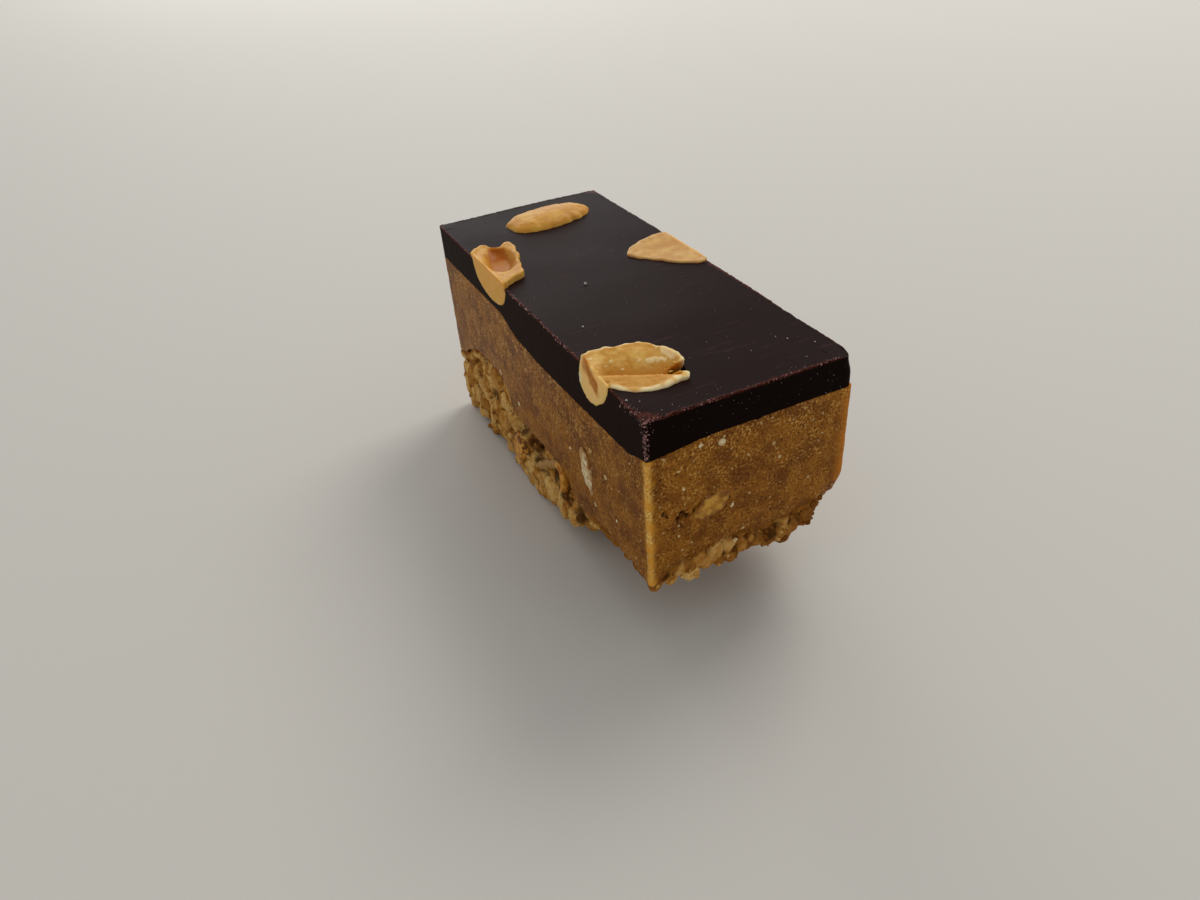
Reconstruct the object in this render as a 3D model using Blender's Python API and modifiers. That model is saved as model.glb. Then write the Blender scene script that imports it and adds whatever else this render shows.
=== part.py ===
"""A cut slice of confectionery: crumb base, thick caramel layer and a dark chocolate top set with peanut halves.

Units are metres. +X runs across the slice, +Y along it towards the back, +Z up.
The slice stands on the sound part of its crumb base, and the origin is the middle of its footprint.
"""

import math

import bmesh
import bpy
from mathutils import Matrix, Vector, noise

MM = 0.001

# Driving sizes of the slice.
WIDTH = 22.0 * MM
LENGTH = 54.0 * MM
HEIGHT = 26.6 * MM
CHOCOLATE_DEPTH = 3.5 * MM
CRUMB_DEPTH = 10.0 * MM
LAYER_GAP = 0.3 * MM

# The knife leaves the long sides a little full between the ends.
SIDE_BULGE = 0.3 * MM

# Depth of the chocolate where it shows on the left side, from the front end to the back.
LEFT_CHOCOLATE_LINE = (
    (-27.0 * MM, 4.1 * MM),
    (-23.0 * MM, 5.0 * MM),
    (-5.0 * MM, 5.3 * MM),
    (1.0 * MM, 5.1 * MM),
    (7.0 * MM, 3.8 * MM),
    (27.0 * MM, 4.1 * MM),
)
LEFT_CHOCOLATE_REACH = 7.0 * MM

# Height of the top of the crumb where it shows on the left side, from the front end to the back.
LEFT_CRUMB_LINE = (
    (-27.0 * MM, 9.6 * MM),
    (-24.0 * MM, 8.6 * MM),
    (-17.0 * MM, 8.6 * MM),
    (-12.0 * MM, 7.4 * MM),
    (-8.0 * MM, 10.4 * MM),
    (5.5 * MM, 9.8 * MM),
    (8.5 * MM, 13.6 * MM),
    (16.0 * MM, 13.2 * MM),
    (27.0 * MM, 9.2 * MM),
)
LEFT_CRUMB_REACH = 5.0 * MM
FRONT_CRUMB_RISE = 1.2 * MM
FRONT_CRUMB_REACH = 4.0 * MM

# The front of the base has crumbled away and leaves a thin crust under the caramel.
# The lines give the place of the broken face by height, on the left side and on the right.
BROKEN_HEIGHT = 7.3 * MM
BROKEN_LEFT = (
    (0.0 * MM, 3.0 * MM),
    (0.8 * MM, -1.0 * MM),
    (1.8 * MM, -6.4 * MM),
    (4.3 * MM, -11.0 * MM),
    (7.3 * MM, -15.4 * MM),
)
BROKEN_RIGHT = (
    (0.0 * MM, -8.5 * MM),
    (7.3 * MM, -14.0 * MM),
)
BROKEN_BLEND = 11.0 * MM
BROKEN_RAGGEDNESS = 1.6 * MM
CORNER_CHIP = 2.8 * MM

# Crumb relief.
CRUMB_VOXEL = 0.55 * MM
CRUMB_LUMP = 2.6 * MM
CRUMB_LUMP_DEPTH = 1.7 * MM
CRUMB_GRAIN = 1.1 * MM
CRUMB_GRAIN_DEPTH = 0.5 * MM
CRUST_RELIEF_SHARE = 0.45
CRUMB_TRIANGLES = 5200
CRUMB_FLOOR = 0.35 * MM
CRUMB_SWELL = 0.4 * MM

# Unevenness of the faces between layers and of the top: wavelength, depth and seed.
CHOCOLATE_FLOOR_RIPPLE = (9.0 * MM, 0.3 * MM, 3.0)
CHOCOLATE_TOP_RIPPLE = (8.0 * MM, 0.1 * MM, 21.0)
CRUMB_TOP_RIPPLE = (6.0 * MM, 0.9 * MM, 7.0)
FRONT_CRUMB_RIPPLE = (4.0 * MM, 0.5 * MM, 9.0)
LEFT_CRUMB_RIPPLE = (4.0 * MM, 0.6 * MM, 11.0)
CRUST_UNDERSIDE_RIPPLE = (5.0 * MM, 0.9 * MM, 31.0)

# The block sizes into which the layers are divided.
CRUMB_CELL = 2.0 * MM
CARAMEL_CELL = 2.0 * MM
CHOCOLATE_CELL = 2.7 * MM
LAYER_STEPS = 4

# Rounded chocolate edges; towards the front the right side leans in under a worn edge.
CORNER_ROUNDING = 1.7 * MM
TOP_ROUNDING = 0.35 * MM
RIGHT_LEAN = 1.0 * MM

# The outline of each peanut half: angles from its heading in degrees and radii in millimetres.
FRONT_OUTLINE = (
    (-180.0, 6.4),
    (-150.0, 4.9),
    (-135.0, 3.95),
    (-122.0, 3.7),
    (-108.0, 3.75),
    (-86.0, 3.95),
    (-62.0, 4.3),
    (-46.0, 4.5),
    (-33.0, 4.8),
    (-27.0, 5.3),
    (-20.0, 5.25),
    (-12.0, 4.95),
    (1.0, 4.7),
    (10.0, 4.45),
    (30.0, 3.9),
    (47.0, 3.4),
    (74.0, 3.25),
    (91.0, 3.1),
    (118.0, 3.1),
    (137.0, 3.9),
    (152.0, 4.75),
    (165.0, 5.4),
    (180.0, 6.4),
)
LEFT_OUTLINE = (
    (-180.0, 5.3),
    (-175.0, 5.6),
    (-163.0, 4.75),
    (-152.0, 4.4),
    (-134.0, 4.4),
    (-114.0, 3.5),
    (-83.0, 3.2),
    (-50.0, 4.4),
    (-33.0, 6.1),
    (-25.0, 6.8),
    (-18.0, 6.6),
    (4.0, 6.35),
    (12.0, 5.6),
    (22.0, 4.9),
    (45.0, 4.0),
    (90.0, 3.0),
    (130.0, 3.2),
    (160.0, 4.2),
    (180.0, 5.3),
)
BACK_OUTLINE = (
    (-180.0, 5.7),
    (-165.0, 5.8),
    (-150.0, 5.1),
    (-130.0, 4.0),
    (-110.0, 3.2),
    (-85.0, 3.0),
    (-60.0, 3.3),
    (-35.0, 4.2),
    (-15.0, 5.6),
    (5.0, 6.0),
    (20.0, 5.3),
    (35.0, 4.35),
    (56.0, 3.4),
    (84.0, 3.05),
    (110.0, 3.3),
    (131.0, 3.9),
    (145.0, 4.7),
    (157.0, 5.5),
    (169.0, 5.8),
    (180.0, 5.7),
)
RIGHT_OUTLINE = (
    (-180.0, 4.0),
    (-100.0, 4.6),
    (-74.0, 4.95),
    (-49.0, 4.95),
    (-31.0, 5.3),
    (-14.0, 5.95),
    (1.0, 6.35),
    (13.0, 5.7),
    (25.0, 4.9),
    (45.0, 4.3),
    (61.0, 4.4),
    (78.0, 4.6),
    (100.0, 5.1),
    (130.0, 4.2),
    (180.0, 4.0),
)

# A peanut half. The inner face looks up, or down where face_down is true, and lies at the lift above the top.
# The dome has a depth, a fullness (small is steep sided) and a skew of its deepest place.
# The notch in the tip has a depth, place across and breadth; the groove a depth, place across and start;
# the hollow a place along and across, two half sizes and a depth.
PEANUTS = (
    {
        "name": "peanut_front",
        "centre": (-7.6 * MM, -18.9 * MM),
        "heading": -24.0,
        "outline": FRONT_OUTLINE,
        "depth": 4.6 * MM,
        "fullness": 0.7,
        "skew": (-1.4 * MM, 1.0 * MM),
        "lift": 0.64 * MM,
        "lean": (8.0, -4.0),
        "face_down": False,
        "notch": (1.3 * MM, -1.05 * MM, 0.35 * MM),
        "groove": (0.9 * MM, -1.3 * MM, -3.9 * MM),
        "hollow": None,
    },
    {
        "name": "peanut_left",
        "centre": (-10.4 * MM, 9.6 * MM),
        "heading": 77.0,
        "outline": LEFT_OUTLINE,
        "depth": 3.75 * MM,
        "fullness": 0.8,
        "skew": (-1.0 * MM, 0.0),
        "lift": 0.65 * MM,
        "lean": (0.0, 0.0),
        "face_down": False,
        "notch": (2.3 * MM, -1.2 * MM, 0.8 * MM),
        "groove": None,
        "hollow": (1.4 * MM, -1.2 * MM, 3.9 * MM, 1.8 * MM, 1.2 * MM),
    },
    {
        "name": "peanut_back",
        "centre": (1.5 * MM, 20.6 * MM),
        "heading": 9.0,
        "outline": BACK_OUTLINE,
        "depth": 2.05 * MM,
        "fullness": 0.55,
        "skew": (0.0, 0.0),
        "lift": -0.85 * MM,
        "lean": (0.0, 0.0),
        "face_down": True,
        "notch": None,
        "groove": None,
        "hollow": None,
    },
    {
        "name": "peanut_right",
        "centre": (10.4 * MM, 3.0 * MM),
        "heading": 166.0,
        "outline": RIGHT_OUTLINE,
        "depth": 2.6 * MM,
        "fullness": 0.8,
        "skew": (0.0, 0.0),
        "lift": 0.2 * MM,
        "lean": (0.0, 0.0),
        "face_down": False,
        "notch": None,
        "groove": None,
        "hollow": (0.5 * MM, 0.0, 5.0 * MM, 3.6 * MM, 0.12 * MM),
    },
)
PEANUT_MERIDIANS = 30
PEANUT_PARALLELS = 12
PEANUT_RIM = 0.12 * MM
RIM_PLACE = 0.9
RIM_BREADTH = 0.1
GROOVE_FAR_SLOPE = 3.4 * MM
GROOVE_NEAR_SLOPE = 0.5 * MM
NOTCH_START = 0.55
SEAT_HEIGHT = 4.0 * MM

# Cut pieces of nut that show in the sides: name, centre, half sizes and turn.
NUT_CHIPS = (
    {
        "name": "nut_chip_left",
        "centre": (-WIDTH / 2 - SIDE_BULGE, -14.6 * MM, 13.9 * MM),
        "half_sizes": (0.9 * MM, 1.25 * MM, 2.7 * MM),
        "turn": ("X", -14.0),
    },
    {
        "name": "nut_chip_front",
        "centre": (-4.4 * MM, -LENGTH / 2, 15.2 * MM),
        "half_sizes": (2.0 * MM, 0.9 * MM, 1.2 * MM),
        "turn": ("Y", -18.0),
    },
)
BASE_CHIP = {
    "name": "nut_chip_base",
    "centre": (-WIDTH / 2 + 0.5 * MM, 6.7 * MM, 4.1 * MM),
    "half_sizes": (1.3 * MM, 1.7 * MM, 2.4 * MM),
    "turn": ("X", 20.0),
}

# Colours (linear), roughness.
FINISHES = {
    "chocolate": ((0.016, 0.008, 0.007), 0.38),
    "caramel": ((0.30, 0.135, 0.035), 0.5),
    "crumb": ((0.42, 0.27, 0.10), 0.85),
    "peanut": ((0.68, 0.44, 0.19), 0.55),
    "nut_chip": ((0.60, 0.43, 0.22), 0.6),
}


def clear_scene():
    for obj in list(bpy.data.objects):
        bpy.data.objects.remove(obj, do_unlink=True)


def collection(name, hidden=False):
    """A collection in the scene; a hidden one holds cutters."""
    made = bpy.data.collections.new(name)
    made.hide_render = hidden
    bpy.context.scene.collection.children.link(made)
    return made


def finish(name):
    """The Principled material of that name."""
    colour, roughness = FINISHES[name]
    material = bpy.data.materials.get(name)
    if material is None:
        material = bpy.data.materials.new(name)
        material.use_nodes = True
        shader = material.node_tree.nodes["Principled BSDF"]
        shader.inputs["Base Color"].default_value = (*colour, 1.0)
        shader.inputs["Roughness"].default_value = roughness
        shader.inputs["Metallic"].default_value = 0.0
    return material


def smooth_step(low, high, value):
    """0 below low, 1 above high, and a smooth ramp between."""
    t = min(1.0, max(0.0, (value - low) / (high - low)))
    return t * t * (3.0 - 2.0 * t)


def along_line(points, place):
    """The height of a broken line at that place, with smooth corners."""
    if place <= points[0][0]:
        return points[0][1]
    for (start, low), (end, high) in zip(points, points[1:]):
        if place <= end:
            return low + (high - low) * smooth_step(start, end, place)
    return points[-1][1]


def ripple(x, y, form):
    """Smooth unevenness of the form's wavelength and depth, different for each seed."""
    size, depth, seed = form
    return depth * noise.noise(Vector((x / size, y / size, seed)))


def chocolate_floor(x, y):
    """Height of the face between chocolate and caramel."""
    depth = CHOCOLATE_DEPTH + ripple(x, y, CHOCOLATE_FLOOR_RIPPLE)
    near_left = 1.0 - smooth_step(0.0, LEFT_CHOCOLATE_REACH, x + WIDTH / 2)
    return HEIGHT - depth - (along_line(LEFT_CHOCOLATE_LINE, y) - depth) * near_left


def chocolate_top(x, y):
    return HEIGHT + ripple(x, y, CHOCOLATE_TOP_RIPPLE)


def caramel_floor(x, y):
    """Height of the face between caramel and crumb."""
    middle = CRUMB_DEPTH + ripple(x, y, CRUMB_TOP_RIPPLE)
    front = CRUMB_DEPTH + FRONT_CRUMB_RISE * (x / WIDTH + 0.5) + ripple(x, y, FRONT_CRUMB_RIPPLE)
    left = along_line(LEFT_CRUMB_LINE, y) + ripple(x, y, LEFT_CRUMB_RIPPLE)
    near_front = 1.0 - smooth_step(0.0, FRONT_CRUMB_REACH, y + LENGTH / 2)
    near_left = 1.0 - smooth_step(0.0, LEFT_CRUMB_REACH, x + WIDTH / 2)
    height = middle + (front - middle) * near_front
    return height + (left - height) * near_left


def broken_face(x, z):
    """How far back the base has crumbled away, at that height and place across."""
    right_share = smooth_step(0.0, BROKEN_BLEND, x + WIDTH / 2)
    left = along_line(BROKEN_LEFT, z)
    right = along_line(BROKEN_RIGHT, z)
    ragged = noise.noise(Vector((x / CRUMB_LUMP, z / CRUMB_LUMP, 5.0)))
    return left + (right - left) * right_share + BROKEN_RAGGEDNESS * ragged


def side_place(y, z):
    """Half width of the slice at that place: a little full between its ends and at mid height."""
    along = 1.0 - (2.0 * y / LENGTH) ** 2
    up = 1.0 - ((z - HEIGHT / 2) / (HEIGHT / 2)) ** 2
    return WIDTH / 2 + SIDE_BULGE * max(0.0, along) * max(0.0, up)


def object_of(name, mesh, target, material=None):
    obj = bpy.data.objects.new(name, mesh)
    target.objects.link(obj)
    if material is not None:
        mesh.materials.append(material)
    return obj


def divided_block(name, size, centre, cell, layers=None, rounding=0.0):
    """A cube primitive of that size, cut on planes about a cell apart, or in so many layers upwards."""
    bm = bmesh.new()
    bmesh.ops.create_cube(bm, size=1.0)
    bmesh.ops.scale(bm, vec=Vector(size), verts=bm.verts)
    bmesh.ops.translate(bm, vec=Vector(centre), verts=bm.verts)
    if rounding:
        upright = [
            edge
            for edge in bm.edges
            if all(vertex.co.x > centre[0] and vertex.co.y < centre[1] for vertex in edge.verts)
        ]
        bmesh.ops.bevel(bm, geom=upright, offset=rounding, segments=4, profile=0.5, affect="EDGES")
    counts = [max(1, round(extent / cell)) for extent in size]
    if layers:
        counts[2] = layers
    for axis, count in enumerate(counts):
        normal = Vector((0.0, 0.0, 0.0))
        normal[axis] = 1.0
        for step in range(1, count):
            place = Vector(centre)
            place[axis] += size[axis] * (step / count - 0.5)
            everything = bm.verts[:] + bm.edges[:] + bm.faces[:]
            bmesh.ops.bisect_plane(bm, geom=everything, plane_co=place, plane_no=normal)
    mesh = bpy.data.meshes.new(name)
    bm.to_mesh(mesh)
    bm.free()
    return mesh


def shape_layer(mesh, depth, floor_of, ceiling_of):
    """Carries a block's floor and ceiling to two uneven surfaces, and its sides to the slice's cut faces."""
    for vertex in mesh.vertices:
        x, y, z = vertex.co
        bottom = floor_of(x, y)
        height = bottom + (ceiling_of(x, y) - bottom) * z / depth
        vertex.co.x = x * side_place(y, height) / (WIDTH / 2)
        vertex.co.z = height


def apply_modifiers(obj):
    """Replaces the object's mesh by what its modifiers make of it."""
    bpy.context.view_layer.update()
    graph = bpy.context.evaluated_depsgraph_get()
    made = bpy.data.meshes.new_from_object(obj.evaluated_get(graph))
    obj.modifiers.clear()
    obj.data = made


def boolean(obj, other, operation):
    modifier = obj.modifiers.new(operation.lower(), "BOOLEAN")
    modifier.operation = operation
    modifier.solver = "EXACT"
    modifier.object = other
    apply_modifiers(obj)


def keep_largest_body(obj):
    """Drops the loose scraps that a cut leaves."""
    bm = bmesh.new()
    bm.from_mesh(obj.data)
    unseen = set(bm.verts)
    bodies = []
    while unseen:
        edge = [unseen.pop()]
        body = set(edge)
        while edge:
            here = edge.pop()
            for link in here.link_edges:
                other = link.other_vert(here)
                if other in unseen:
                    unseen.remove(other)
                    body.add(other)
                    edge.append(other)
        bodies.append(body)
    bodies.sort(key=len, reverse=True)
    for body in bodies[1:]:
        bmesh.ops.delete(bm, geom=list(body), context="VERTS")
    bm.to_mesh(obj.data)
    bm.free()


def outline_block(name, low, high, target):
    """The slice's outline as a block between two heights, as full at the sides as the slice is."""
    mesh = divided_block(name, (WIDTH, LENGTH, high - low), (0.0, 0.0, (low + high) / 2), 4.0 * MM)
    for vertex in mesh.vertices:
        vertex.co.x *= side_place(vertex.co.y, vertex.co.z) / (WIDTH / 2)
    return object_of(name, mesh, target)


def inner_face(x, y, reach, kernel):
    """Height of a peanut half's inner face above its rim plane: a low rim, and a groove or a hollow."""
    height = PEANUT_RIM * math.exp(-(((reach - RIM_PLACE) / RIM_BREADTH) ** 2))
    inside = 1.0 - smooth_step(0.75, 0.95, reach)
    if kernel["groove"]:
        depth, place, start = kernel["groove"]
        slope = GROOVE_FAR_SLOPE if y > place else GROOVE_NEAR_SLOPE
        valley = depth * (1.0 - smooth_step(0.0, slope, abs(y - place)))
        height -= valley * smooth_step(start, start + 1.6 * MM, x) * inside
    if kernel["hollow"]:
        along, across, half_length, half_width, depth = kernel["hollow"]
        away = math.hypot((x - along) / half_length, (y - across) / half_width)
        height -= depth * (1.0 - smooth_step(0.55, 1.0, away))
    return height


def peanut_point(unit, kernel, notched=True):
    """Where a point of the unit sphere goes on a peanut half whose inner face looks up."""
    reach = min(1.0, math.hypot(unit.x, unit.y))
    turn = math.atan2(unit.y, unit.x)
    radius = reach * along_line(kernel["outline"], math.degrees(turn)) * MM
    x = radius * math.cos(turn)
    y = radius * math.sin(turn)
    if unit.z <= 0.0:
        z = -kernel["depth"] * (-unit.z) ** kernel["fullness"]
    else:
        z = inner_face(x, y, reach, kernel)
    if kernel["notch"] and notched:
        depth, place, breadth = kernel["notch"]
        x -= depth * smooth_step(NOTCH_START, 1.0, reach) * math.exp(-(((y - place) / breadth) ** 2)) * (x > 0.0)
    lower = max(0.0, -unit.z)
    return Vector((x + kernel["skew"][0] * lower, y + kernel["skew"][1] * lower, z))


def peanut_mesh(name, kernel, grow=0.0):
    """A peanut half; grown, and with an inner face that looks up carried higher, it cuts its own seat."""
    bm = bmesh.new()
    bmesh.ops.create_uvsphere(bm, u_segments=PEANUT_MERIDIANS, v_segments=PEANUT_PARALLELS, radius=1.0)
    for vertex in bm.verts:
        unit = vertex.co.copy()
        vertex.co = peanut_point(unit, kernel, notched=not grow) + unit * grow
        if grow and unit.z > 0.01 and not kernel["face_down"]:
            vertex.co.z = SEAT_HEIGHT
    mesh = bpy.data.meshes.new(name)
    bm.to_mesh(mesh)
    bm.free()
    return mesh


def peanut_place(kernel):
    """The matrix that lays a peanut half on the chocolate."""
    x, y = kernel["centre"]
    over, aside = kernel["lean"]
    lean = Matrix.Rotation(math.radians(over), 4, "X") @ Matrix.Rotation(math.radians(aside), 4, "Y")
    turn = Matrix.Rotation(math.radians(kernel["heading"]), 4, "Z")
    flip = Matrix.Rotation(math.pi if kernel["face_down"] else 0.0, 4, "X")
    return Matrix.Translation((x, y, HEIGHT + kernel["lift"])) @ lean @ turn @ flip


def grown_copy(obj, name, gap, target):
    """A copy whose surface stands off the original by the gap, for cutting its seat."""
    mesh = obj.data.copy()
    normals = [vertex.normal.copy() for vertex in mesh.vertices]
    for vertex, normal in zip(mesh.vertices, normals):
        vertex.co += normal * gap
    cutter = object_of(name, mesh, target)
    cutter.matrix_world = obj.matrix_world.copy()
    return cutter


def worn_to_lumps(base):
    """Gives the base its crumbs: lumps and finer grain, weaker on the thin crust at the front."""
    remesh = base.modifiers.new("remesh", "REMESH")
    remesh.mode = "VOXEL"
    remesh.voxel_size = CRUMB_VOXEL
    apply_modifiers(base)
    normals = [vertex.normal.copy() for vertex in base.data.vertices]
    for vertex, normal in zip(base.data.vertices, normals):
        place = vertex.co
        lump = noise.noise(place / CRUMB_LUMP)
        grain = noise.noise(place / CRUMB_GRAIN + Vector((9.0, 4.0, 1.0)))
        crust = 1.0 - smooth_step(-2.0 * MM, 1.0 * MM, place.y - broken_face(place.x, BROKEN_HEIGHT))
        strength = 1.0 - (1.0 - CRUST_RELIEF_SHARE) * crust
        relief = strength * (CRUMB_LUMP_DEPTH * lump + CRUMB_GRAIN_DEPTH * grain) + CRUMB_SWELL
        vertex.co = place + normal * relief
    thin = base.modifiers.new("thin", "DECIMATE")
    thin.ratio = min(1.0, CRUMB_TRIANGLES / (2.0 * len(base.data.polygons)))
    apply_modifiers(base)


def make_crumb_base(parts, cutters):
    """The base: a block with its front crumbled away, worn to lumps and cut flush with the sides."""
    middle = (0.0, 0.0, CRUMB_DEPTH / 2)
    core = divided_block("crumb_base", (WIDTH, LENGTH, CRUMB_DEPTH), middle, CRUMB_CELL)
    for vertex in core.vertices:
        x, y, z = vertex.co
        vertex.co.z = CRUMB_FLOOR + (caramel_floor(x, y) + MM - CRUMB_FLOOR) * z / CRUMB_DEPTH
    base = object_of("crumb_base", core, parts, finish("crumb"))

    depth = BROKEN_HEIGHT + 2.0 * MM
    centre = (0.0, -LENGTH / 2, BROKEN_HEIGHT - depth / 2)
    broken_mesh = divided_block("broken_front", (WIDTH * 1.2, LENGTH, depth), centre, CRUMB_CELL)
    for vertex in broken_mesh.vertices:
        x, y, z = vertex.co
        vertex.co.y = (y + LENGTH) / LENGTH * (broken_face(x, z) + LENGTH) - LENGTH
        vertex.co.z = z + ripple(x, y, CRUST_UNDERSIDE_RIPPLE) if z > 0.0 else z
    boolean(base, object_of("broken_front", broken_mesh, cutters), "DIFFERENCE")

    side = 2 * CORNER_CHIP
    chip_mesh = divided_block("corner_chip", (side, side, side), (0.0, 0.0, 0.0), side)
    chip = object_of("corner_chip", chip_mesh, cutters)
    chip.rotation_euler = (math.radians(20.0), math.radians(-12.0), math.radians(40.0))
    chip.location = (WIDTH / 2 + 0.3 * CORNER_CHIP, -LENGTH / 2, BROKEN_HEIGHT)
    boolean(base, chip, "DIFFERENCE")
    worn_to_lumps(base)

    size = (WIDTH, LENGTH, CRUMB_DEPTH)
    envelope = divided_block("crumb_envelope", size, middle, CARAMEL_CELL, LAYER_STEPS)
    shape_layer(envelope, CRUMB_DEPTH, lambda x, y: 0.0, lambda x, y: caramel_floor(x, y) - LAYER_GAP)
    boolean(base, object_of("crumb_envelope", envelope, cutters), "INTERSECT")
    keep_largest_body(base)
    return base


def make_caramel(parts):
    size = (WIDTH, LENGTH, CRUMB_DEPTH)
    mesh = divided_block("caramel_layer", size, (0.0, 0.0, CRUMB_DEPTH / 2), CARAMEL_CELL, LAYER_STEPS)
    shape_layer(mesh, CRUMB_DEPTH, caramel_floor, lambda x, y: chocolate_floor(x, y) - LAYER_GAP)
    return object_of("caramel_layer", mesh, parts, finish("caramel"))


def make_chocolate(parts):
    """The chocolate: one worn corner at the front right, crisp cut edges elsewhere."""
    size = (WIDTH, LENGTH, CHOCOLATE_DEPTH)
    middle = (0.0, 0.0, CHOCOLATE_DEPTH / 2)
    mesh = divided_block("chocolate_layer", size, middle, CHOCOLATE_CELL, 2, CORNER_ROUNDING)
    shape_layer(mesh, CHOCOLATE_DEPTH, chocolate_floor, chocolate_top)
    for vertex in mesh.vertices:
        x, y, z = vertex.co
        up = smooth_step(HEIGHT - 0.7 * CHOCOLATE_DEPTH, HEIGHT, z)
        front = 1.0 - smooth_step(-LENGTH / 2, LENGTH / 6, y)
        right = smooth_step(WIDTH / 4, WIDTH / 2, x)
        vertex.co.x = x - RIGHT_LEAN * up * front * right
    layer = object_of("chocolate_layer", mesh, parts, finish("chocolate"))
    edges = layer.modifiers.new("soft_edges", "BEVEL")
    edges.width = TOP_ROUNDING
    edges.segments = 2
    edges.limit_method = "ANGLE"
    edges.angle_limit = math.radians(50.0)
    apply_modifiers(layer)
    return layer


def make_peanuts(chocolate, parts, cutters):
    """Peanut halves pressed into the chocolate, those at the sides cut through with the slice."""
    outline = outline_block("peanut_outline", HEIGHT - 2 * SEAT_HEIGHT, HEIGHT + 2 * SEAT_HEIGHT, cutters)
    for kernel in PEANUTS:
        name = kernel["name"]
        peanut = object_of(name, peanut_mesh(name, kernel), parts, finish("peanut"))
        peanut.matrix_world = peanut_place(kernel)
        seat_name = name + "_seat"
        seat = object_of(seat_name, peanut_mesh(seat_name, kernel, LAYER_GAP), cutters)
        seat.matrix_world = peanut_place(kernel)
        boolean(chocolate, seat, "DIFFERENCE")
        boolean(peanut, outline, "INTERSECT")


def make_nut_chip(chip, around, outline, parts, cutters):
    """A piece of nut cut through with the slice, flush in the side of the layer around it."""
    bm = bmesh.new()
    bmesh.ops.create_icosphere(bm, subdivisions=2, radius=1.0)
    bmesh.ops.scale(bm, vec=Vector(chip["half_sizes"]), verts=bm.verts)
    mesh = bpy.data.meshes.new(chip["name"])
    bm.to_mesh(mesh)
    bm.free()
    piece = object_of(chip["name"], mesh, parts, finish("nut_chip"))
    axis, degrees = chip["turn"]
    turn = Matrix.Rotation(math.radians(degrees), 4, axis)
    piece.matrix_world = Matrix.Translation(chip["centre"]) @ turn
    seat = grown_copy(piece, chip["name"] + "_seat", LAYER_GAP, cutters)
    boolean(around, seat, "DIFFERENCE")
    keep_largest_body(around)
    boolean(piece, outline, "INTERSECT")


def main():
    clear_scene()
    parts = collection("peanut_manuka_slice")
    cutters = collection("cutters", hidden=True)
    base = make_crumb_base(parts, cutters)
    caramel = make_caramel(parts)
    chocolate = make_chocolate(parts)
    make_peanuts(chocolate, parts, cutters)
    outline = outline_block("chip_outline", 0.5 * MM, HEIGHT, cutters)
    for chip in NUT_CHIPS:
        make_nut_chip(chip, caramel, outline, parts, cutters)
    make_nut_chip(BASE_CHIP, base, outline, parts, cutters)
    for cutter in cutters.objects:
        cutter.hide_render = True
        cutter.display_type = "WIRE"
    for part in parts.objects:
        part.data.shade_smooth()
        part.data.set_sharp_from_angle(angle=math.radians(40.0))


main()
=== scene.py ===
# %% [markdown]
# # A cut slice of peanut confectionery
# The real slice was poured and pressed in a tray in three layers, and then cut with a long knife: a crumb
# base, a thick honey caramel, and dark chocolate in which peanut halves were set while it was still soft.
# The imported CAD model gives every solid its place, in metres. This lesson gives each of them the form and the
# finish that the eye sees from close by, piece by piece, in that same frame.

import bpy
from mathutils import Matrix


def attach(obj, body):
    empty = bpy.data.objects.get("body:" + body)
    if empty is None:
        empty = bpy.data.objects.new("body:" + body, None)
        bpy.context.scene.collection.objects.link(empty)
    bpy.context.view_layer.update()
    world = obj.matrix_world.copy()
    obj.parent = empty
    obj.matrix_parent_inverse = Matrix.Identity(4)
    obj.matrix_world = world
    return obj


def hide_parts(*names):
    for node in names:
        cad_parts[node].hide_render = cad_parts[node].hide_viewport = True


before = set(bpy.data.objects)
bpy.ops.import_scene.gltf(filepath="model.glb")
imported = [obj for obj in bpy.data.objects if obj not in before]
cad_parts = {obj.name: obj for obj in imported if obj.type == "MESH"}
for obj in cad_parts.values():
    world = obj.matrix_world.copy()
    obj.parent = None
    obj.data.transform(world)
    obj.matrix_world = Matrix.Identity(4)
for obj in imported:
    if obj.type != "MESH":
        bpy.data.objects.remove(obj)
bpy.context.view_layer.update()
print("solids:", len(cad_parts))

# %% [markdown]
# ## Small tools
# By hand, each step below would be a few clicks: select one object, select some faces, run an operator, apply
# a modifier. These helpers do those clicks, so that the later cells can say what is made and not how it is
# clicked. An operator acts on all that is selected, so each of them first makes sure of what that is.

# %% Selecting, as a mouse would
import math
import random

import bpy
from mathutils import Euler, Matrix, Vector, kdtree, noise

MM = 0.001


def only(piece):
    """Makes the piece the only selected object, in object mode."""
    if bpy.context.mode != "OBJECT":
        bpy.ops.object.mode_set(mode="OBJECT")
    bpy.ops.object.select_all(action="DESELECT")
    piece.select_set(True)
    bpy.context.view_layer.objects.active = piece


def pick(piece, kind, wanted):
    """Enters edit mode with just those vertices, edges or polygons selected that the rule wants."""
    only(piece)
    mesh = piece.data
    for elements in (mesh.vertices, mesh.edges, mesh.polygons):
        elements.foreach_set("select", [False] * len(elements))
    for element in getattr(mesh, kind):
        element.select = wanted(element)
    modes = [name == kind for name in ("vertices", "edges", "polygons")]
    bpy.context.tool_settings.mesh_select_mode = modes
    bpy.ops.object.mode_set(mode="EDIT")


def add_object(operator, name, **settings):
    """Runs an operator that adds an object, with nothing else selected, and names what it made."""
    bpy.ops.object.select_all(action="DESELECT")
    operator(**settings)
    made = bpy.context.object
    made.name = made.data.name = name
    return made


def join(pieces):
    """Joins the pieces into the first of them."""
    only(pieces[0])
    for piece in pieces[1:]:
        piece.select_set(True)
    bpy.ops.object.join()
    return bpy.context.object


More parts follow.
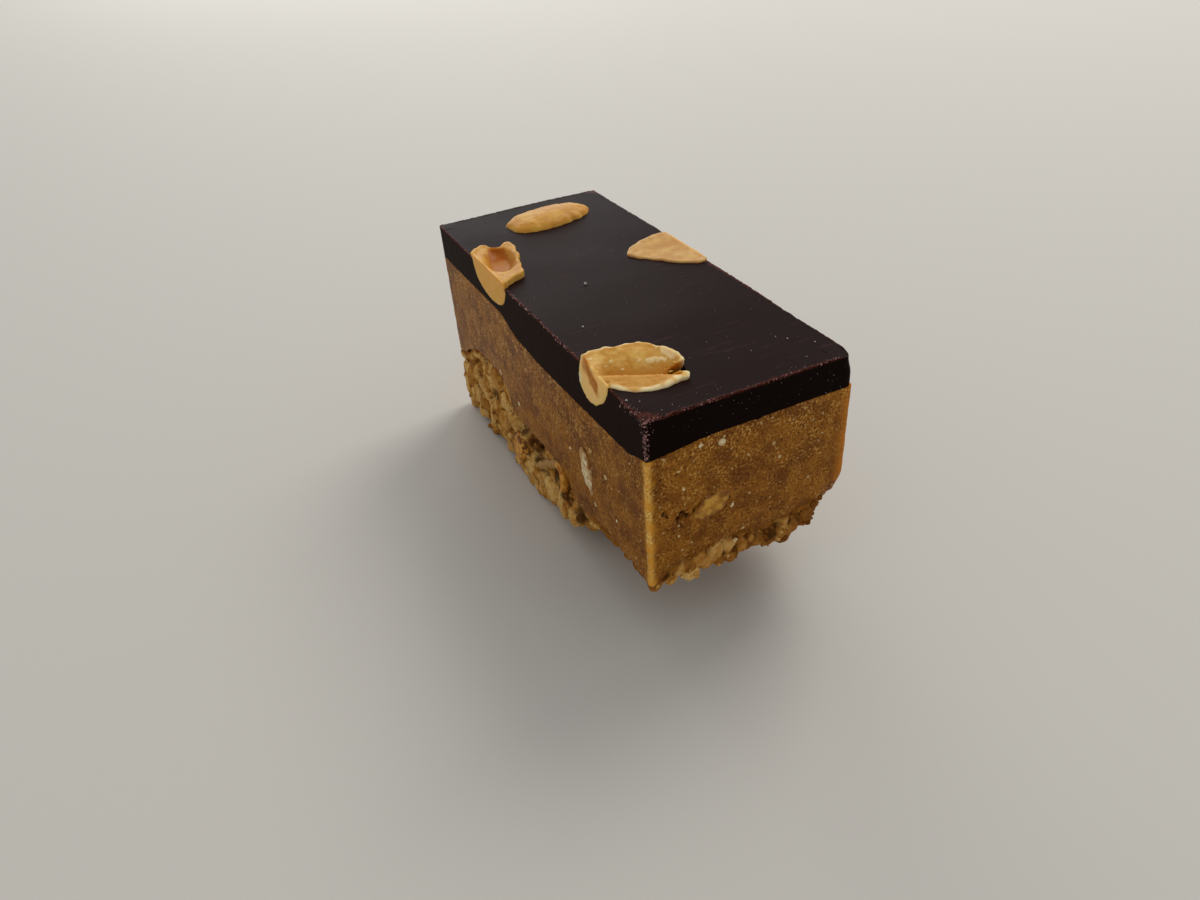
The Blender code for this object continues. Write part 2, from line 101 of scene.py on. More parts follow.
# %% Cutting, roughening and handing over
def apply_modifier(piece, kind, **settings):
    """Adds a modifier with these settings and applies it."""
    only(piece)
    modifier = piece.modifiers.new(kind.lower(), kind)
    for name, value in settings.items():
        setattr(modifier, name, value)
    bpy.ops.object.modifier_apply(modifier=modifier.name)


def subtract(piece, cutter):
    """Cuts the cutter's shape out of the piece and throws the cutter away."""
    apply_modifier(piece, "BOOLEAN", operation="DIFFERENCE", solver="EXACT", object=cutter)
    bpy.data.objects.remove(cutter)


def slice_off(piece, place, outward):
    """Cuts away what lies beyond a plane, and closes the cut."""
    only(piece)
    bpy.ops.object.mode_set(mode="EDIT")
    bpy.ops.mesh.select_all(action="SELECT")
    bpy.ops.mesh.bisect(plane_co=place, plane_no=outward, clear_outer=True, use_fill=True)
    bpy.ops.object.mode_set(mode="OBJECT")


def roughen(piece, size, depth, **settings):
    """Raises and sinks the surface by a cloudy pattern of that size and depth."""
    texture = bpy.data.textures.new("clouds", "CLOUDS")
    texture.noise_scale = size
    for name, value in settings.items():
        setattr(texture, name, value)
    apply_modifier(piece, "DISPLACE", texture=texture, strength=depth, mid_level=0.5, texture_coords="LOCAL")
    bpy.data.textures.remove(texture)


def paint(piece, name, value_of):
    """Stores a number for each vertex under a name, for a material to read."""
    layer = piece.data.attributes.new(name, "FLOAT", "POINT")
    layer.data.foreach_set("value", [value_of(vertex) for vertex in piece.data.vertices])


def serve(piece, slot, *nodes):
    """Rides the piece on the slice and hides the CAD nodes that it stands for. The slot is not used."""
    only(piece)
    bpy.ops.object.shade_smooth()
    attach(piece, "root")
    if nodes:
        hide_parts(*nodes)
    piece.data.calc_loop_triangles()
    print(piece.name, "has", len(piece.data.loop_triangles), "triangles")


# %% [markdown]
# ## The shape of the slice
# The layers meet at uneven faces, the knife left the long sides a little full, and the base has crumbled away
# under the front third. The CAD works these forms out from named sizes. The same sizes and rules stand here,
# so that every piece fits its solid.

# %% Sizes of the slice
WIDTH = 22.0 * MM
LENGTH = 54.0 * MM
HEIGHT = 26.6 * MM
CHOCOLATE_DEPTH = 3.5 * MM
CRUMB_DEPTH = 10.0 * MM
SIDE_BULGE = 0.3 * MM
# Lines on the left side: place along it, with the chocolate's depth or the crumb's height there, in mm.
LEFT_CHOCOLATE_LINE = ((-27.0, 4.1), (-23.0, 5.0), (-5.0, 5.3), (1.0, 5.1), (7.0, 3.8), (27.0, 4.1))
LEFT_CHOCOLATE_REACH = 7.0 * MM
LEFT_CRUMB_LINE = (
    (-27.0, 9.6), (-24.0, 8.6), (-17.0, 8.6), (-12.0, 7.4), (-8.0, 10.4),
    (5.5, 9.8), (8.5, 13.6), (16.0, 13.2), (27.0, 9.2),
)
LEFT_CRUMB_REACH = 5.0 * MM
FRONT_CRUMB_RISE = 1.2 * MM
FRONT_CRUMB_REACH = 4.0 * MM
# Lines of the break: height, with the place along the side that it has crumbled back to, in mm.
BROKEN_HEIGHT = 7.3 * MM
BROKEN_LEFT = ((0.0, 3.0), (0.8, -1.0), (1.8, -6.4), (4.3, -11.0), (7.3, -15.4))
BROKEN_RIGHT = ((0.0, -8.5), (7.3, -14.0))
BROKEN_BLEND = 11.0 * MM
BROKEN_RAGGEDNESS = 1.6 * MM
CRUMB_LUMP = 2.6 * MM
# Wavelength, depth and seed of each ripple.
CHOCOLATE_FLOOR_RIPPLE = (9.0 * MM, 0.3 * MM, 3.0)
CHOCOLATE_TOP_RIPPLE = (8.0 * MM, 0.1 * MM, 21.0)
CRUMB_TOP_RIPPLE = (6.0 * MM, 0.9 * MM, 7.0)
FRONT_CRUMB_RIPPLE = (4.0 * MM, 0.5 * MM, 9.0)
LEFT_CRUMB_RIPPLE = (4.0 * MM, 0.6 * MM, 11.0)
RAGGED_SEAM = (1.1 * MM, 0.45 * MM, 47.0)
# How far the caramel was smeared down over the crumb at the near edge, and where that fades out.
SMEAR = 1.3 * MM
SMEAR_FADE = (0.5 * MM, 3.4 * MM)


# %% Uneven faces
def smooth_step(low, high, value):
    """0 at low and before it, 1 at high and beyond it, and a smooth ramp between."""
    t = min(1.0, max(0.0, (value - low) / (high - low)))
    return t * t * (3.0 - 2.0 * t)


def along_line(points, place):
    """The height of a broken line at that place, with smooth corners."""
    if place <= points[0][0]:
        return points[0][1]
    for (start, low), (end, high) in zip(points, points[1:]):
        if place <= end:
            return low + (high - low) * smooth_step(start, end, place)
    return points[-1][1]


def ripple(x, y, form):
    """Height of a ripple of that form at a place."""
    size, depth, seed = form
    return depth * noise.noise(Vector((x / size, y / size, seed)))


def from_near_edge(x, y):
    """Distance from the slice's upright edge at the front left."""
    return math.hypot(x + WIDTH / 2, y + LENGTH / 2)


def from_right_edge(x, y):
    """Distance from the slice's upright edge at the front right."""
    return math.hypot(x - WIDTH / 2, y + LENGTH / 2)


def chocolate_floor(x, y):
    """Height of the face between chocolate and caramel."""
    depth = CHOCOLATE_DEPTH + ripple(x, y, CHOCOLATE_FLOOR_RIPPLE)
    near_left = 1.0 - smooth_step(0.0, LEFT_CHOCOLATE_REACH, x + WIDTH / 2)
    return HEIGHT - depth - (along_line(LEFT_CHOCOLATE_LINE, y / MM) * MM - depth) * near_left


def chocolate_top(x, y):
    """Height of the top of the slice."""
    return HEIGHT + ripple(x, y, CHOCOLATE_TOP_RIPPLE)


def caramel_floor(x, y):
    """Height of the ragged face between caramel and crumb."""
    middle = CRUMB_DEPTH + ripple(x, y, CRUMB_TOP_RIPPLE)
    front = CRUMB_DEPTH + FRONT_CRUMB_RISE * (x / WIDTH + 0.5) + ripple(x, y, FRONT_CRUMB_RIPPLE)
    left = along_line(LEFT_CRUMB_LINE, y / MM) * MM + ripple(x, y, LEFT_CRUMB_RIPPLE)
    near_front = 1.0 - smooth_step(0.0, FRONT_CRUMB_REACH, y + LENGTH / 2)
    near_left = 1.0 - smooth_step(0.0, LEFT_CRUMB_REACH, x + WIDTH / 2)
    height = middle + (front - middle) * near_front
    smear = 1.0 - smooth_step(*SMEAR_FADE, from_near_edge(x, y))
    return height + (left - height) * near_left + ripple(x, y, RAGGED_SEAM) - SMEAR * smear


def broken_face(x, z):
    """How far back the base has crumbled away, at that height and place across."""
    right_share = smooth_step(0.0, BROKEN_BLEND, x + WIDTH / 2)
    left = along_line(BROKEN_LEFT, z / MM) * MM
    right = along_line(BROKEN_RIGHT, z / MM) * MM
    ragged = noise.noise(Vector((x / CRUMB_LUMP, z / CRUMB_LUMP, 5.0)))
    return left + (right - left) * right_share + BROKEN_RAGGEDNESS * ragged


def side_place(y, z):
    """Half width of the slice at that place."""
    along = 1.0 - (2.0 * y / LENGTH) ** 2
    up = 1.0 - ((z - HEIGHT / 2) / (HEIGHT / 2)) ** 2
    return WIDTH / 2 + SIDE_BULGE * max(0.0, along) * max(0.0, up)


# %% [markdown]
# ## Blocks cut into cells
# A layer starts as a cube primitive, scaled, its upright edges bevelled, and bisected on planes two
# millimetres apart. Faces that show are then subdivided to about a fifth of a millimetre, fine enough for
# grain and pits. No operator can follow the rules above, so the vertices are carried to them in code.

# %% Starting a layer
CELL = 2.0 * MM
FINE_CUTS = 8


def add_block(name, size):
    """A cube primitive of that size that stands on the floor."""
    middle = (0.0, 0.0, size[2] / 2)
    block = add_object(bpy.ops.mesh.primitive_cube_add, name, size=1.0, location=middle, scale=size)
    bpy.ops.object.transform_apply(location=True, rotation=True, scale=True)
    return block


def round_upright_edges(block, wanted, radius, segments):
    """Bevels the upright edges at those corners."""
    points = block.data.vertices

    def upright(edge):
        a, b = (points[index].co for index in edge.vertices)
        return abs(a.x - b.x) + abs(a.y - b.y) < 1e-6 and wanted(a.x, a.y)

    pick(block, "edges", upright)
    bpy.ops.mesh.bevel(offset=radius, segments=segments, affect="EDGES")
    bpy.ops.object.mode_set(mode="OBJECT")


def cut_into_cells(block):
    """Bisects a block on planes about one cell apart along each axis."""
    corners = [vertex.co.copy() for vertex in block.data.vertices]
    only(block)
    bpy.ops.object.mode_set(mode="EDIT")
    for axis in range(3):
        low = min(corner[axis] for corner in corners)
        high = max(corner[axis] for corner in corners)
        count = max(1, round((high - low) / CELL))
        normal = [0.0, 0.0, 0.0]
        normal[axis] = 1.0
        for step in range(1, count):
            place = [0.0, 0.0, 0.0]
            place[axis] = low + (high - low) * step / count
            bpy.ops.mesh.select_all(action="SELECT")
            bpy.ops.mesh.bisect(plane_co=place, plane_no=normal)
    bpy.ops.object.mode_set(mode="OBJECT")


def refine(block, wanted, cuts=FINE_CUTS):
    """Subdivides the faces that the rule wants."""
    pick(block, "polygons", wanted)
    bpy.ops.mesh.subdivide(number_cuts=cuts)
    bpy.ops.object.mode_set(mode="OBJECT")


def carry_to_faces(block, depth, floor_of, ceiling_of):
    """Carries a block's floor and ceiling to two uneven faces, and its sides to the cut of the knife."""
    for vertex in block.data.vertices:
        x, y, z = vertex.co
        bottom = floor_of(x, y)
        height = bottom + (ceiling_of(x, y) - bottom) * z / depth
        vertex.co.x = x * side_place(y, height) / (WIDTH / 2)
        vertex.co.z = height


def at_front_right(x, y):
    """Whether a place is in the quarter where the slice is worn."""
    return x > 0.0 and y < 0.0


def at_other_corners(x, y):
    """Whether a place is in one of the other three quarters."""
    return not at_front_right(x, y)


# %% [markdown]
# ## Caramel
# The thick middle is a firm honey caramel full of ground nuts. A knife went through it, so its sides are flat
# and satin, with a sandy grain. It tore a few small pits out of the front and left the near edge rough, and
# the lower front right corner is rubbed away. Displacement by two cloudy textures gives the waves and the
# grain. The pits and the worn corner have a place of their own, so their vertices are moved by a rule.

# %% The caramel slab
CARAMEL_DEPTH = 13.0 * MM
CARAMEL_WORN_EDGE = 0.45 * MM
CARAMEL_SHARP_EDGE = 0.2 * MM
PITTED_PLACE = Vector((-8.2 * MM, -LENGTH / 2, 15.3 * MM))
PITTED_REACH = 2.4 * MM
PITTED_CUTS = 3
caramel = add_block("caramel_slab", (WIDTH, LENGTH, CARAMEL_DEPTH))
round_upright_edges(caramel, at_front_right, CARAMEL_WORN_EDGE, 3)
round_upright_edges(caramel, at_other_corners, CARAMEL_SHARP_EDGE, 2)
cut_into_cells(caramel)
refine(caramel, lambda face: abs(face.normal.z) < 0.5)
carry_to_faces(caramel, CARAMEL_DEPTH, caramel_floor, chocolate_floor)
refine(caramel, lambda face: (face.center - PITTED_PLACE).length < PITTED_REACH, PITTED_CUTS)
print("caramel faces:", len(caramel.data.polygons))

# %% Waves, sandy grain, pits and the worn corner
# Place across, height, half width and depth of each pit in the front, in millimetres.
PITS = (
    (-9.35, 16.15, 0.26, 0.3), (-9.05, 15.75, 0.16, 0.2), (-7.85, 15.05, 0.26, 0.5),
    (-7.4, 15.4, 0.34, 0.6), (-6.9, 15.05, 0.24, 0.45), (-7.7, 14.2, 0.2, 0.2),
)
PIT_RAGGEDNESS = 0.5
FRONT_MILLIMETRE = -LENGTH / 2 + 1.0 * MM
# Height at which the worn corner ends, how far it reaches and how far it is rubbed back.
WEAR_HEIGHTS = (10.5 * MM, 13.5 * MM)
WEAR_REACH = 3.5 * MM
WEAR = Vector((-0.7, 0.4, 0.0)) * MM
NEAR_EDGE_FADE = (0.1 * MM, 0.6 * MM)
NEAR_EDGE_BUMPS = Vector((-0.06, -0.1, 0.0)) * MM
CRUMBY_RISE = (0.2 * MM, 2.0 * MM)


def pit_share(x, z, across, height, breadth):
    """1 in a pit and 0 outside it, with a ragged border."""
    ragged = PIT_RAGGEDNESS * noise.noise(Vector((x / 0.3, z / 0.2, 2.0)))
    reach = math.hypot(x - across, (z - height) * 0.9) / breadth + ragged
    return math.exp(-(max(0.0, reach) ** 3))


def wear(spot):
    """How far the slice's lower front right corner is rubbed back at that spot."""
    low = 1.0 - smooth_step(*WEAR_HEIGHTS, spot.z)
    return WEAR * (low * (1.0 - smooth_step(0.0, WEAR_REACH, from_right_edge(spot.x, spot.y))))


def crumb_shows(vertex):
    """How near a vertex lies to the seam with the base, where crumb shows through the caramel."""
    return 1.0 - smooth_step(*CRUMBY_RISE, vertex.co.z - caramel_floor(vertex.co.x, vertex.co.y))


roughen(caramel, 3.5 * MM, 0.14 * MM)
roughen(caramel, 0.55 * MM, 0.06 * MM, noise_depth=2)
pitted = []
for vertex in caramel.data.vertices:
    x, y, z = vertex.co
    shares = [0.0]
    if y < FRONT_MILLIMETRE:
        for across, height, breadth, depth in PITS:
            shares.append(pit_share(x / MM, z / MM, across, height, breadth))
            vertex.co.y += depth * MM * shares[-1]
    pitted.append(max(shares))
    vertex.co += wear(vertex.co)
    bump = 0.5 + 0.5 * noise.noise(Vector((0.0, 0.0, z / (0.6 * MM))))
    vertex.co += NEAR_EDGE_BUMPS * (bump * (1.0 - smooth_step(*NEAR_EDGE_FADE, from_near_edge(x, y))))
# The share of each pit is stored for the dark red painted shade in the pits.
paint(caramel, "gouge", lambda vertex: pitted[vertex.index])
paint(caramel, "crumby", crumb_shows)
serve(caramel, "caramel", "caramel_layer")

# %% [markdown]
# ## Chocolate
# The top is a dark chocolate slab that set level and smooth. The knife left its cut sides scraped and its top
# edge burred, and its front right corner is worn round. A narrow bevel takes the sharpness off its edges. It
# holds the nuts, so each of them is later cut out of it a hair smaller than the nut, which leaves no gap.

# %% The chocolate slab
CHOCOLATE_WORN_EDGE = 0.9 * MM
CHOCOLATE_SHARP_EDGE = 0.25 * MM
CHOCOLATE_TOP_ROUNDING = 0.16 * MM
WAVY_SEAM = (0.9 * MM, 0.12 * MM, 51.0)
RIGHT_LEAN = 0.45 * MM
WORN_CORNER_DROP = 0.35 * MM
WORN_CORNER_REACH = 2.0 * MM


def chocolate_seam(x, y):
    """Height of the slab's underside, which is a little wavier than the caramel under it."""
    return chocolate_floor(x, y) + ripple(x, y, WAVY_SEAM)


chocolate = add_block("chocolate_slab", (WIDTH, LENGTH, CHOCOLATE_DEPTH))
round_upright_edges(chocolate, at_front_right, CHOCOLATE_WORN_EDGE, 5)
round_upright_edges(chocolate, at_other_corners, CHOCOLATE_SHARP_EDGE, 2)
cut_into_cells(chocolate)
refine(chocolate, lambda face: face.normal.z > -0.5)
carry_to_faces(chocolate, CHOCOLATE_DEPTH, chocolate_seam, chocolate_top)
for vertex in chocolate.data.vertices:
    x, y, z = vertex.co
    up = smooth_step(HEIGHT - 0.7 * CHOCOLATE_DEPTH, HEIGHT, z)
    front = 1.0 - smooth_step(-LENGTH / 2, LENGTH / 6, y)
    right = smooth_step(WIDTH / 4, WIDTH / 2, x)
    vertex.co.x = x - RIGHT_LEAN * up * front * right
    vertex.co.z -= WORN_CORNER_DROP * up * smooth_step(WORN_CORNER_REACH, 0.0, from_right_edge(x, y))
apply_modifier(
    chocolate,
    "BEVEL",
    width=CHOCOLATE_TOP_ROUNDING,
    segments=3,
    limit_method="ANGLE",
    angle_limit=math.radians(50.0),
)
print("chocolate faces:", len(chocolate.data.polygons))

# %% [markdown]
# ## Peanut halves
# A peanut half is a long dome with a flat inner face. The front one is tipped towards the near left corner: a
# thin pale rim, a golden slope down to a crease, a flat near half, and a notch at the tip. The left one is
# hollow, the right one lies level with the chocolate, and the back one lies face down. Each starts as a UV
# sphere whose outline follows a table of radii, because no two nuts have the same outline.

# %% Outlines of the halves
# Angles from the heading in degrees, with the radius of the outline there in millimetres.
FRONT_OUTLINE = (
    (-180, 6.4), (-150, 4.9), (-135, 3.95), (-122, 3.7), (-108, 3.75), (-86, 3.95), (-62, 4.3), (-46, 4.5),
    (-33, 4.8), (-27, 5.3), (-20, 5.25), (-12, 4.95), (1, 4.7), (10, 4.45), (30, 3.9), (47, 3.4), (74, 3.25),
    (91, 3.1), (118, 3.1), (137, 3.9), (152, 4.75), (165, 5.4), (180, 6.4),
)
LEFT_OUTLINE = (
    (-180, 5.3), (-175, 5.6), (-163, 4.75), (-152, 4.4), (-134, 4.4), (-114, 3.5), (-83, 3.2), (-50, 4.4),
    (-33, 6.1), (-25, 6.8), (-18, 6.6), (4, 6.35), (12, 5.6), (22, 4.9), (45, 4.0), (90, 3.0), (130, 3.2),
    (160, 4.2), (180, 5.3),
)
BACK_OUTLINE = (
    (-180, 5.7), (-165, 5.8), (-150, 5.1), (-130, 4.0), (-110, 3.2), (-85, 3.0), (-60, 3.3), (-35, 4.2),
    (-15, 5.6), (5, 6.0), (20, 5.3), (35, 4.35), (56, 3.4), (84, 3.05), (110, 3.3), (131, 3.9), (145, 4.7),
    (157, 5.5), (169, 5.8), (180, 5.7),
)
RIGHT_OUTLINE = (
    (-180, 4.0), (-100, 4.6), (-74, 4.95), (-49, 4.95), (-31, 5.3), (-14, 5.95), (1, 6.35), (13, 5.7),
    (25, 4.9), (45, 4.3), (61, 4.4), (78, 4.6), (100, 5.1), (130, 4.2), (180, 4.0),
)

# %% Sizes of the halves
# In millimetres and degrees. The notch has a depth, a place across and a breadth; the groove a depth, a place
# across and a start; the hollow a place along and across, two half sizes and a depth; the stain of the cut
# two ends, along and up the slice's side, and a radius.
PLAIN_HALF = {
    "skew": (0.0, 0.0), "lean": (0.0, 0.0), "face_down": False,
    "notch": None, "groove": None, "hollow": None, "stain": None,
}
KERNELS = (
    PLAIN_HALF | {
        "name": "peanut_front", "centre": (-7.6, -18.9), "heading": -24.0, "outline": FRONT_OUTLINE,
        "depth": 4.6, "fullness": 0.7, "skew": (-1.4, 1.0), "lift": 0.64, "lean": (8.0, -4.0),
        "rim": 0.14, "pale": 1.0, "notch": (2.1, -0.85, 0.62), "groove": (1.05, -1.35, -3.9),
        "stain": ((-16.3, 26.9), (-18.2, 25.4), 0.9),
    },
    PLAIN_HALF | {
        "name": "peanut_left", "centre": (-10.4, 9.6), "heading": 77.0, "outline": LEFT_OUTLINE,
        "depth": 3.75, "fullness": 0.8, "skew": (-1.0, 0.0), "lift": 0.65,
        "rim": 0.1, "pale": 0.4, "notch": (1.5, -1.2, 0.9), "hollow": (1.4, -1.2, 4.3, 2.1, 0.95),
    },
    PLAIN_HALF | {
        "name": "peanut_back", "centre": (1.5, 20.6), "heading": 9.0, "outline": BACK_OUTLINE,
        "depth": 2.05, "fullness": 0.55, "lift": -0.85, "rim": 0.1, "pale": 0.1, "face_down": True,
    },
    PLAIN_HALF | {
        "name": "peanut_right", "centre": (10.4, 3.0), "heading": 166.0, "outline": RIGHT_OUTLINE,
        "depth": 2.6, "fullness": 0.8, "lift": 0.2, "rim": 0.04, "pale": 0.25,
        "hollow": (0.5, 0.0, 5.0, 3.6, 0.12),
    },
)

# %% [markdown]
# ### The inner face
# Where the two halves of a peanut met, the face is flat, with a low rim, and a crease where the germ lay. On
# the front one a pale layer has torn and stayed in patches near the tip, and small crumbs lie on the face.
# Sculpting would do this by hand. A formula for the height does it here, so that it can be read and changed.

# %% Rim, crease, hollow and torn patches
# Place on the front nut's inner face and half size of the small crumbs that lie there, in millimetres.
NUT_CRUMBS = (
    (-1.94, 0.91, 0.14), (-2.42, 0.47, 0.1), (0.59, 0.73, 0.12), (-0.91, 0.05, 0.1), (-0.69, -0.69, 0.16),
    (0.36, -0.9, 0.12), (0.9, -1.35, 0.2), (2.43, -1.66, 0.14), (-3.27, -0.36, 0.1), (-3.84, 1.16, 0.16),
)
# Centre, half sizes and raggedness of each patch of the pale layer.
TORN_PATCHES = (((3.5, 1.6), (1.15, 1.0), 0.9), ((1.95, 0.62), (1.0, 0.3), 0.9))
CRUMB_RAGGEDNESS = 0.4
TORN_HEIGHT = 0.08
# Height, centre and half sizes of a dent and of a splinter at the front nut's near side.
NEAR_MARKS = ((-0.45, (-2.4, -2.3), (0.22, 0.16)), (0.14, (-1.6, -2.62), (0.75, 0.13)))
RIM_PLACE = 0.92
RIM_BREADTH = 0.06
GROOVE_FAR_SLOPE = 3.5
GROOVE_NEAR_SLOPE = 0.16
PEANUT_FRONT = "peanut_front"


def blob(x, y, centre, half_sizes, raggedness=0.0):
    """1 inside an ellipse and 0 outside, with a ragged border."""
    away = math.hypot((x - centre[0]) / half_sizes[0], (y - centre[1]) / half_sizes[1])
    away += raggedness * noise.noise(Vector((x / 0.45, y / 0.45, 3.0)))
    return 1.0 - smooth_step(0.8, 1.05, away)


def torn_patch(x, y):
    """1 on the crumbs and where a pale layer has stayed on the front nut's inner face."""
    crumbs = [blob(x, y, place, (1.3 * size, size), CRUMB_RAGGEDNESS) for *place, size in NUT_CRUMBS]
    return max(crumbs + [blob(x, y, *patch) for patch in TORN_PATCHES])


def inner_face(x, y, reach, kernel):
    """Height of the inner face above its rim plane."""
    turn = math.atan2(y, x)
    around = Vector((2.6 * math.cos(turn), 2.6 * math.sin(turn), kernel["heading"]))
    uneven = 1.0 + 0.8 * noise.noise(around)
    height = kernel["rim"] * uneven * math.exp(-(((reach - RIM_PLACE) / RIM_BREADTH) ** 2))
    if kernel["groove"]:
        depth, place, start = kernel["groove"]
        aside = y - place + 0.09 * x
        slope = GROOVE_FAR_SLOPE if aside > 0.0 else GROOVE_NEAR_SLOPE
        valley = depth * (1.0 - smooth_step(0.0, slope, abs(aside)) ** 0.8)
        height -= valley * smooth_step(start, start + 1.6, x) * (1.0 - smooth_step(0.8, 0.95, reach))
    if kernel["hollow"]:
        along, across, half_length, half_width, depth = kernel["hollow"]
        away = math.hypot((x - along) / half_length, (y - across) / half_width)
        height -= depth * (1.0 - smooth_step(0.4, 0.98, away))
    if kernel["name"] == PEANUT_FRONT:
        height += TORN_HEIGHT * torn_patch(x, y)
        height += sum(rise * blob(x, y, place, half_sizes) for rise, place, half_sizes in NEAR_MARKS)
    return height


# %% [markdown]
# ### From a sphere to a nut
# Each point of the sphere goes to the outline at its angle, the lower half to the dome and the upper half to
# the inner face. The same rule, a hair smaller and open upwards, makes the seat that is cut out of the
# chocolate. The nuts at the sides went under the knife too, so a bisect cuts them flush and fills the cut. A
# voxel remesh then gives the whole nut one fine even skin, on which its small dents can be raised.

# %% A half, and its seat in the chocolate
NOTCH_START = 0.66
SEAT_OPENING = 4.0 * MM
SEAT_SQUEEZE = 0.05 * MM


def kernel_point(unit, kernel, notched=True):
    """Where a point of the unit sphere goes on a peanut half whose inner face looks up."""
    reach = min(1.0, math.hypot(unit.x, unit.y))
    turn = math.atan2(unit.y, unit.x)
    radius = reach * along_line(kernel["outline"], math.degrees(turn))
    x = radius * math.cos(turn)
    y = radius * math.sin(turn)
    if unit.z <= 0.0:
        z = -kernel["depth"] * (-unit.z) ** kernel["fullness"]
    else:
        z = inner_face(x, y, reach, kernel)
    if kernel["notch"] and notched and x > 0.0:
        depth, place, breadth = kernel["notch"]
        x -= depth * smooth_step(NOTCH_START, 1.0, reach) * math.exp(-(((y - place) / breadth) ** 4))
    lower = max(0.0, -unit.z)
    return Vector((x + kernel["skew"][0] * lower, y + kernel["skew"][1] * lower, z)) * MM


def kernel_place(kernel):
    """The matrix that lays a peanut half on the chocolate."""
    x, y = kernel["centre"]
    over, aside = kernel["lean"]
    lean = Matrix.Rotation(math.radians(over), 4, "X") @ Matrix.Rotation(math.radians(aside), 4, "Y")
    turn = Matrix.Rotation(math.radians(kernel["heading"]), 4, "Z")
    flip = Matrix.Rotation(math.pi if kernel["face_down"] else 0.0, 4, "X")
    return Matrix.Translation((x * MM, y * MM, HEIGHT + kernel["lift"] * MM)) @ lean @ turn @ flip


def add_kernel(kernel, name, segments, rings, seat=False):
    """A UV sphere shaped to the nut, in its place; as a seat it is smaller, unnotched and open upwards."""
    sphere = bpy.ops.mesh.primitive_uv_sphere_add
    nut = add_object(sphere, name, segments=segments, ring_count=rings, radius=1.0)
    for vertex in nut.data.vertices:
        unit = vertex.co.copy()
        vertex.co = kernel_point(unit, kernel, notched=not seat)
        if seat:
            vertex.co -= unit * SEAT_SQUEEZE
        if seat and unit.z > 0.01 and not kernel["face_down"]:
            vertex.co.z = SEAT_OPENING
    nut.data.transform(kernel_place(kernel))
    return nut


# %% Shaping, cutting and setting the nuts
KNIFE_HEIGHT = HEIGHT - 2.0 * MM
KNIFE_CLEARANCE = 0.04 * MM
NUT_SKIN = 0.12 * MM


def knife_place(kernel):
    """How far from the slice's middle the knife went through the nut."""
    return side_place(kernel["centre"][1] * MM, KNIFE_HEIGHT)


peanuts = []
for kernel in KERNELS:
    subtract(chocolate, add_kernel(kernel, "seat", 48, 24, seat=True))
    nut = add_kernel(kernel, kernel["name"] + "_half", 160, 80)
    for side in (-1.0, 1.0):
        slice_off(nut, (side * (knife_place(kernel) + KNIFE_CLEARANCE), 0.0, 0.0), (side, 0.0, 0.0))
    apply_modifier(nut, "REMESH", mode="VOXEL", voxel_size=NUT_SKIN)
    apply_modifier(nut, "SMOOTH", factor=0.5, iterations=2)
    peanuts.append(nut)
print("nuts:", [len(nut.data.polygons) for nut in peanuts], "chocolate faces:", len(chocolate.data.polygons))

# %% [markdown]
# ### Where the nuts change colour
# A roasted half is pale at its rim, where it dried paler and where a highlight is painted, deeper gold in its
# hollow and crease and on the front one's near half as painted shade, bright where the knife cut it and
# stained where oil and chocolate were dragged over the cut; inside the notch at its tip, the stain's colour is
# painted shade. A texture can't know these places, but each vertex does. Their shares are stored as
# attributes for the material, before the dents are raised.

# %% Painting the rims with their highlight, the shade of the deep places, the cuts and their stains
CUT_FADE = (0.16 * MM, 0.06 * MM)
LEFT_CUT = -10.8 * MM
TORN_PALENESS = 0.65
GROOVED_SHADE = 0.6


def stain_share(vertex, kernel, uneven):
    """1 within a radius of the stain's line along the cut, with a ragged border."""
    start, end, radius = kernel["stain"]
    place = Vector((vertex.co.y, vertex.co.z)) / MM
    run = Vector(end) - Vector(start)
    share = min(1.0, max(0.0, (place - Vector(start)).dot(run) / run.length_squared))
    away = (place - Vector(start) - run * share).length / radius + 0.5 * uneven
    return 1.0 - smooth_step(0.45, 1.0, away)


def nut_shares(vertex, kernel, back):
    """How much a vertex takes of the pale rim with its painted highlight, the inner face's painted shade, the
    cut and its stain.
    """
    x, y, height = back @ vertex.co / MM
    uneven = noise.noise(vertex.co / (0.8 * MM))
    lower = min(1.0, max(0.0, -height) / kernel["depth"]) ** (1.0 / kernel["fullness"])
    x -= kernel["skew"][0] * lower
    y -= kernel["skew"][1] * lower
    border = along_line(kernel["outline"], math.degrees(math.atan2(y, x)))
    reach = math.hypot(x, y) / border + 0.04 * uneven
    inside = smooth_step(-1.9, -1.2, height) * (1.0 - smooth_step(0.84, 0.9, reach))
    rim = kernel["pale"] * smooth_step(0.85, 0.99, math.hypot(reach, lower) + 0.1 * uneven)
    if kernel["name"] == PEANUT_FRONT:
        rim = max(rim, TORN_PALENESS * torn_patch(x, y))
    if vertex.co.x < LEFT_CUT:
        rim *= smooth_step(0.0, 1.3, y)
    # Low in the inner face, and past the front nut's crease, the gold is darkened as painted shade.
    deep = 0.0 if kernel["face_down"] else inside * smooth_step(-0.1, -0.9, height)
    if kernel["groove"]:
        deep = max(deep, GROOVED_SHADE * inside * smooth_step(-1.2, -1.6, y))
    cut = smooth_step(*CUT_FADE, knife_place(kernel) - abs(vertex.co.x))
    stain = cut * stain_share(vertex, kernel, uneven) if kernel["stain"] else 0.0
    # Inside the notch at the tip, the stain's colour is painted shade.
    if kernel["notch"]:
        depth, across, breadth = kernel["notch"]
        slot = smooth_step(1.35, 0.95, abs(y - across) / breadth) * smooth_step(2.6, 3.0, x)
        stain = max(stain, slot * smooth_step(0.1, -0.25, height))
    return rim, deep, cut, stain


